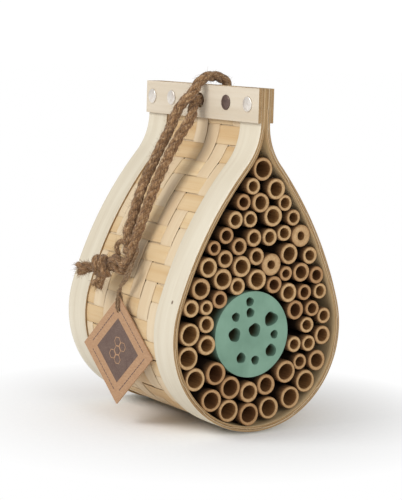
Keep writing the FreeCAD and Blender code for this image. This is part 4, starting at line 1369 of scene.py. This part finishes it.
# Soft window high on the left, a little behind, and a weak fill in front: place from the
# middle, side, watts.
LAMPS = (("window", (-0.9, 0.15, 0.65), 0.5, 6.9), ("front_fill", (-0.1, -1.3, 0.5), 0.7, 6.5))
WORLD_LIGHT = 0.42          # strength of the background as a light
WORLD_SEEN = 1.05           # and to the camera
FLOOR_DROP = 1.5 * MM       # the floor lies this far below the object
CAMERA_TURN = math.radians(-32.49)
CAMERA_LIFT = math.radians(7.18)
CAMERA_ROLL = math.radians(1.64)
CAMERA_DISTANCE = 1.0332
CAMERA_TARGET = Vector((0, -DEPTH / 2, 0.1015))
CAMERA_SHIFT = (-0.004, -0.0042)    # shares of the picture's longer side


def floor_shade():
    """White paper, brighter away from the object so that it melts into the background."""
    shade = Shade("studio_white", 0.9, 0.05)
    speck = shade.noise(shade.place(), 300, 3, 0.6)
    shade.set_surface("Base Color", shade.coats((247, 247, 247),
                                                (speck, 0.3, 0.7, 0, 1, (243.4, 243.4, 243.4))))
    far = shade.node("VectorMath", {0: shade.place(), 1: (0.0, -DEPTH / 2, 0.0)}, "Value",
                     operation="DISTANCE")
    glow = shade.node("Emission", {"Strength": 1.0})
    melted = shade.node("MixShader", {0: shade.band(far, 0.05, 0.17),
                                      1: shade.surface.outputs[0], 2: glow})
    shade.feed(shade.tree.nodes["Material Output"].inputs[0], melted)
    return shade.material


def make_floor():
    """A wide round floor that stays out of the part."""
    mesh = bmesh.new()
    bmesh.ops.create_circle(mesh, cap_ends=True, segments=96, radius=12)
    data = bpy.data.meshes.new("floor")
    mesh.to_mesh(data)
    mesh.free()
    data.materials.append(floor_shade())
    floor = add_object("floor", data)
    floor.location.z = -FLOOR_DROP


def make_world():
    """Pure white where the camera sees it, a dimmer white as light."""
    world = bpy.data.worlds.new("studio")
    bpy.context.scene.world = world
    world.use_nodes = True
    tree = world.node_tree
    background = tree.nodes["Background"]
    background.inputs["Color"].default_value = (1.0, 0.995, 0.985, 1)
    seen = tree.nodes.new("ShaderNodeLightPath")
    power = tree.nodes.new("ShaderNodeMapRange")
    power.inputs["To Min"].default_value = WORLD_LIGHT
    power.inputs["To Max"].default_value = WORLD_SEEN
    tree.links.new(seen.outputs["Is Camera Ray"], power.inputs["Value"])
    tree.links.new(power.outputs[0], background.inputs["Strength"])


def make_lamps():
    """Square lamps that face the middle of the object."""
    middle = Vector((0, -DEPTH / 2, TOP / 2))
    for name, place, size, power in LAMPS:
        light = bpy.data.lights.new(name, "AREA")
        light.shape = "SQUARE"
        light.size = size
        light.energy = power
        lamp = add_object(name, light)
        lamp.location = middle + Vector(place)
        lamp.rotation_euler = (-Vector(place)).to_track_quat("-Z", "Y").to_euler()


def set_camera():
    """The viewing angle of a product shot: from the left, a little above, long lens."""
    back = Vector((math.sin(CAMERA_TURN) * math.cos(CAMERA_LIFT),
                   -math.cos(CAMERA_TURN) * math.cos(CAMERA_LIFT), math.sin(CAMERA_LIFT)))
    level_right = Vector((math.cos(CAMERA_TURN), math.sin(CAMERA_TURN), 0))
    level_up = back.cross(level_right)
    right = turned(level_right, level_up, CAMERA_ROLL)
    up = turned(level_up, -level_right, CAMERA_ROLL)
    data = bpy.data.cameras.new("camera")
    data.lens = 121.23
    data.sensor_width = 36
    data.shift_x, data.shift_y = CAMERA_SHIFT
    data.clip_start = 0.01
    camera = add_object("camera", data)
    matrix = Matrix((right, up, back)).transposed().to_4x4()
    matrix.translation = CAMERA_TARGET + back * CAMERA_DISTANCE
    camera.matrix_world = matrix
    bpy.context.scene.camera = camera


make_floor()
make_world()
make_lamps()
set_camera()
bpy.context.scene.view_settings.view_transform = "Standard"
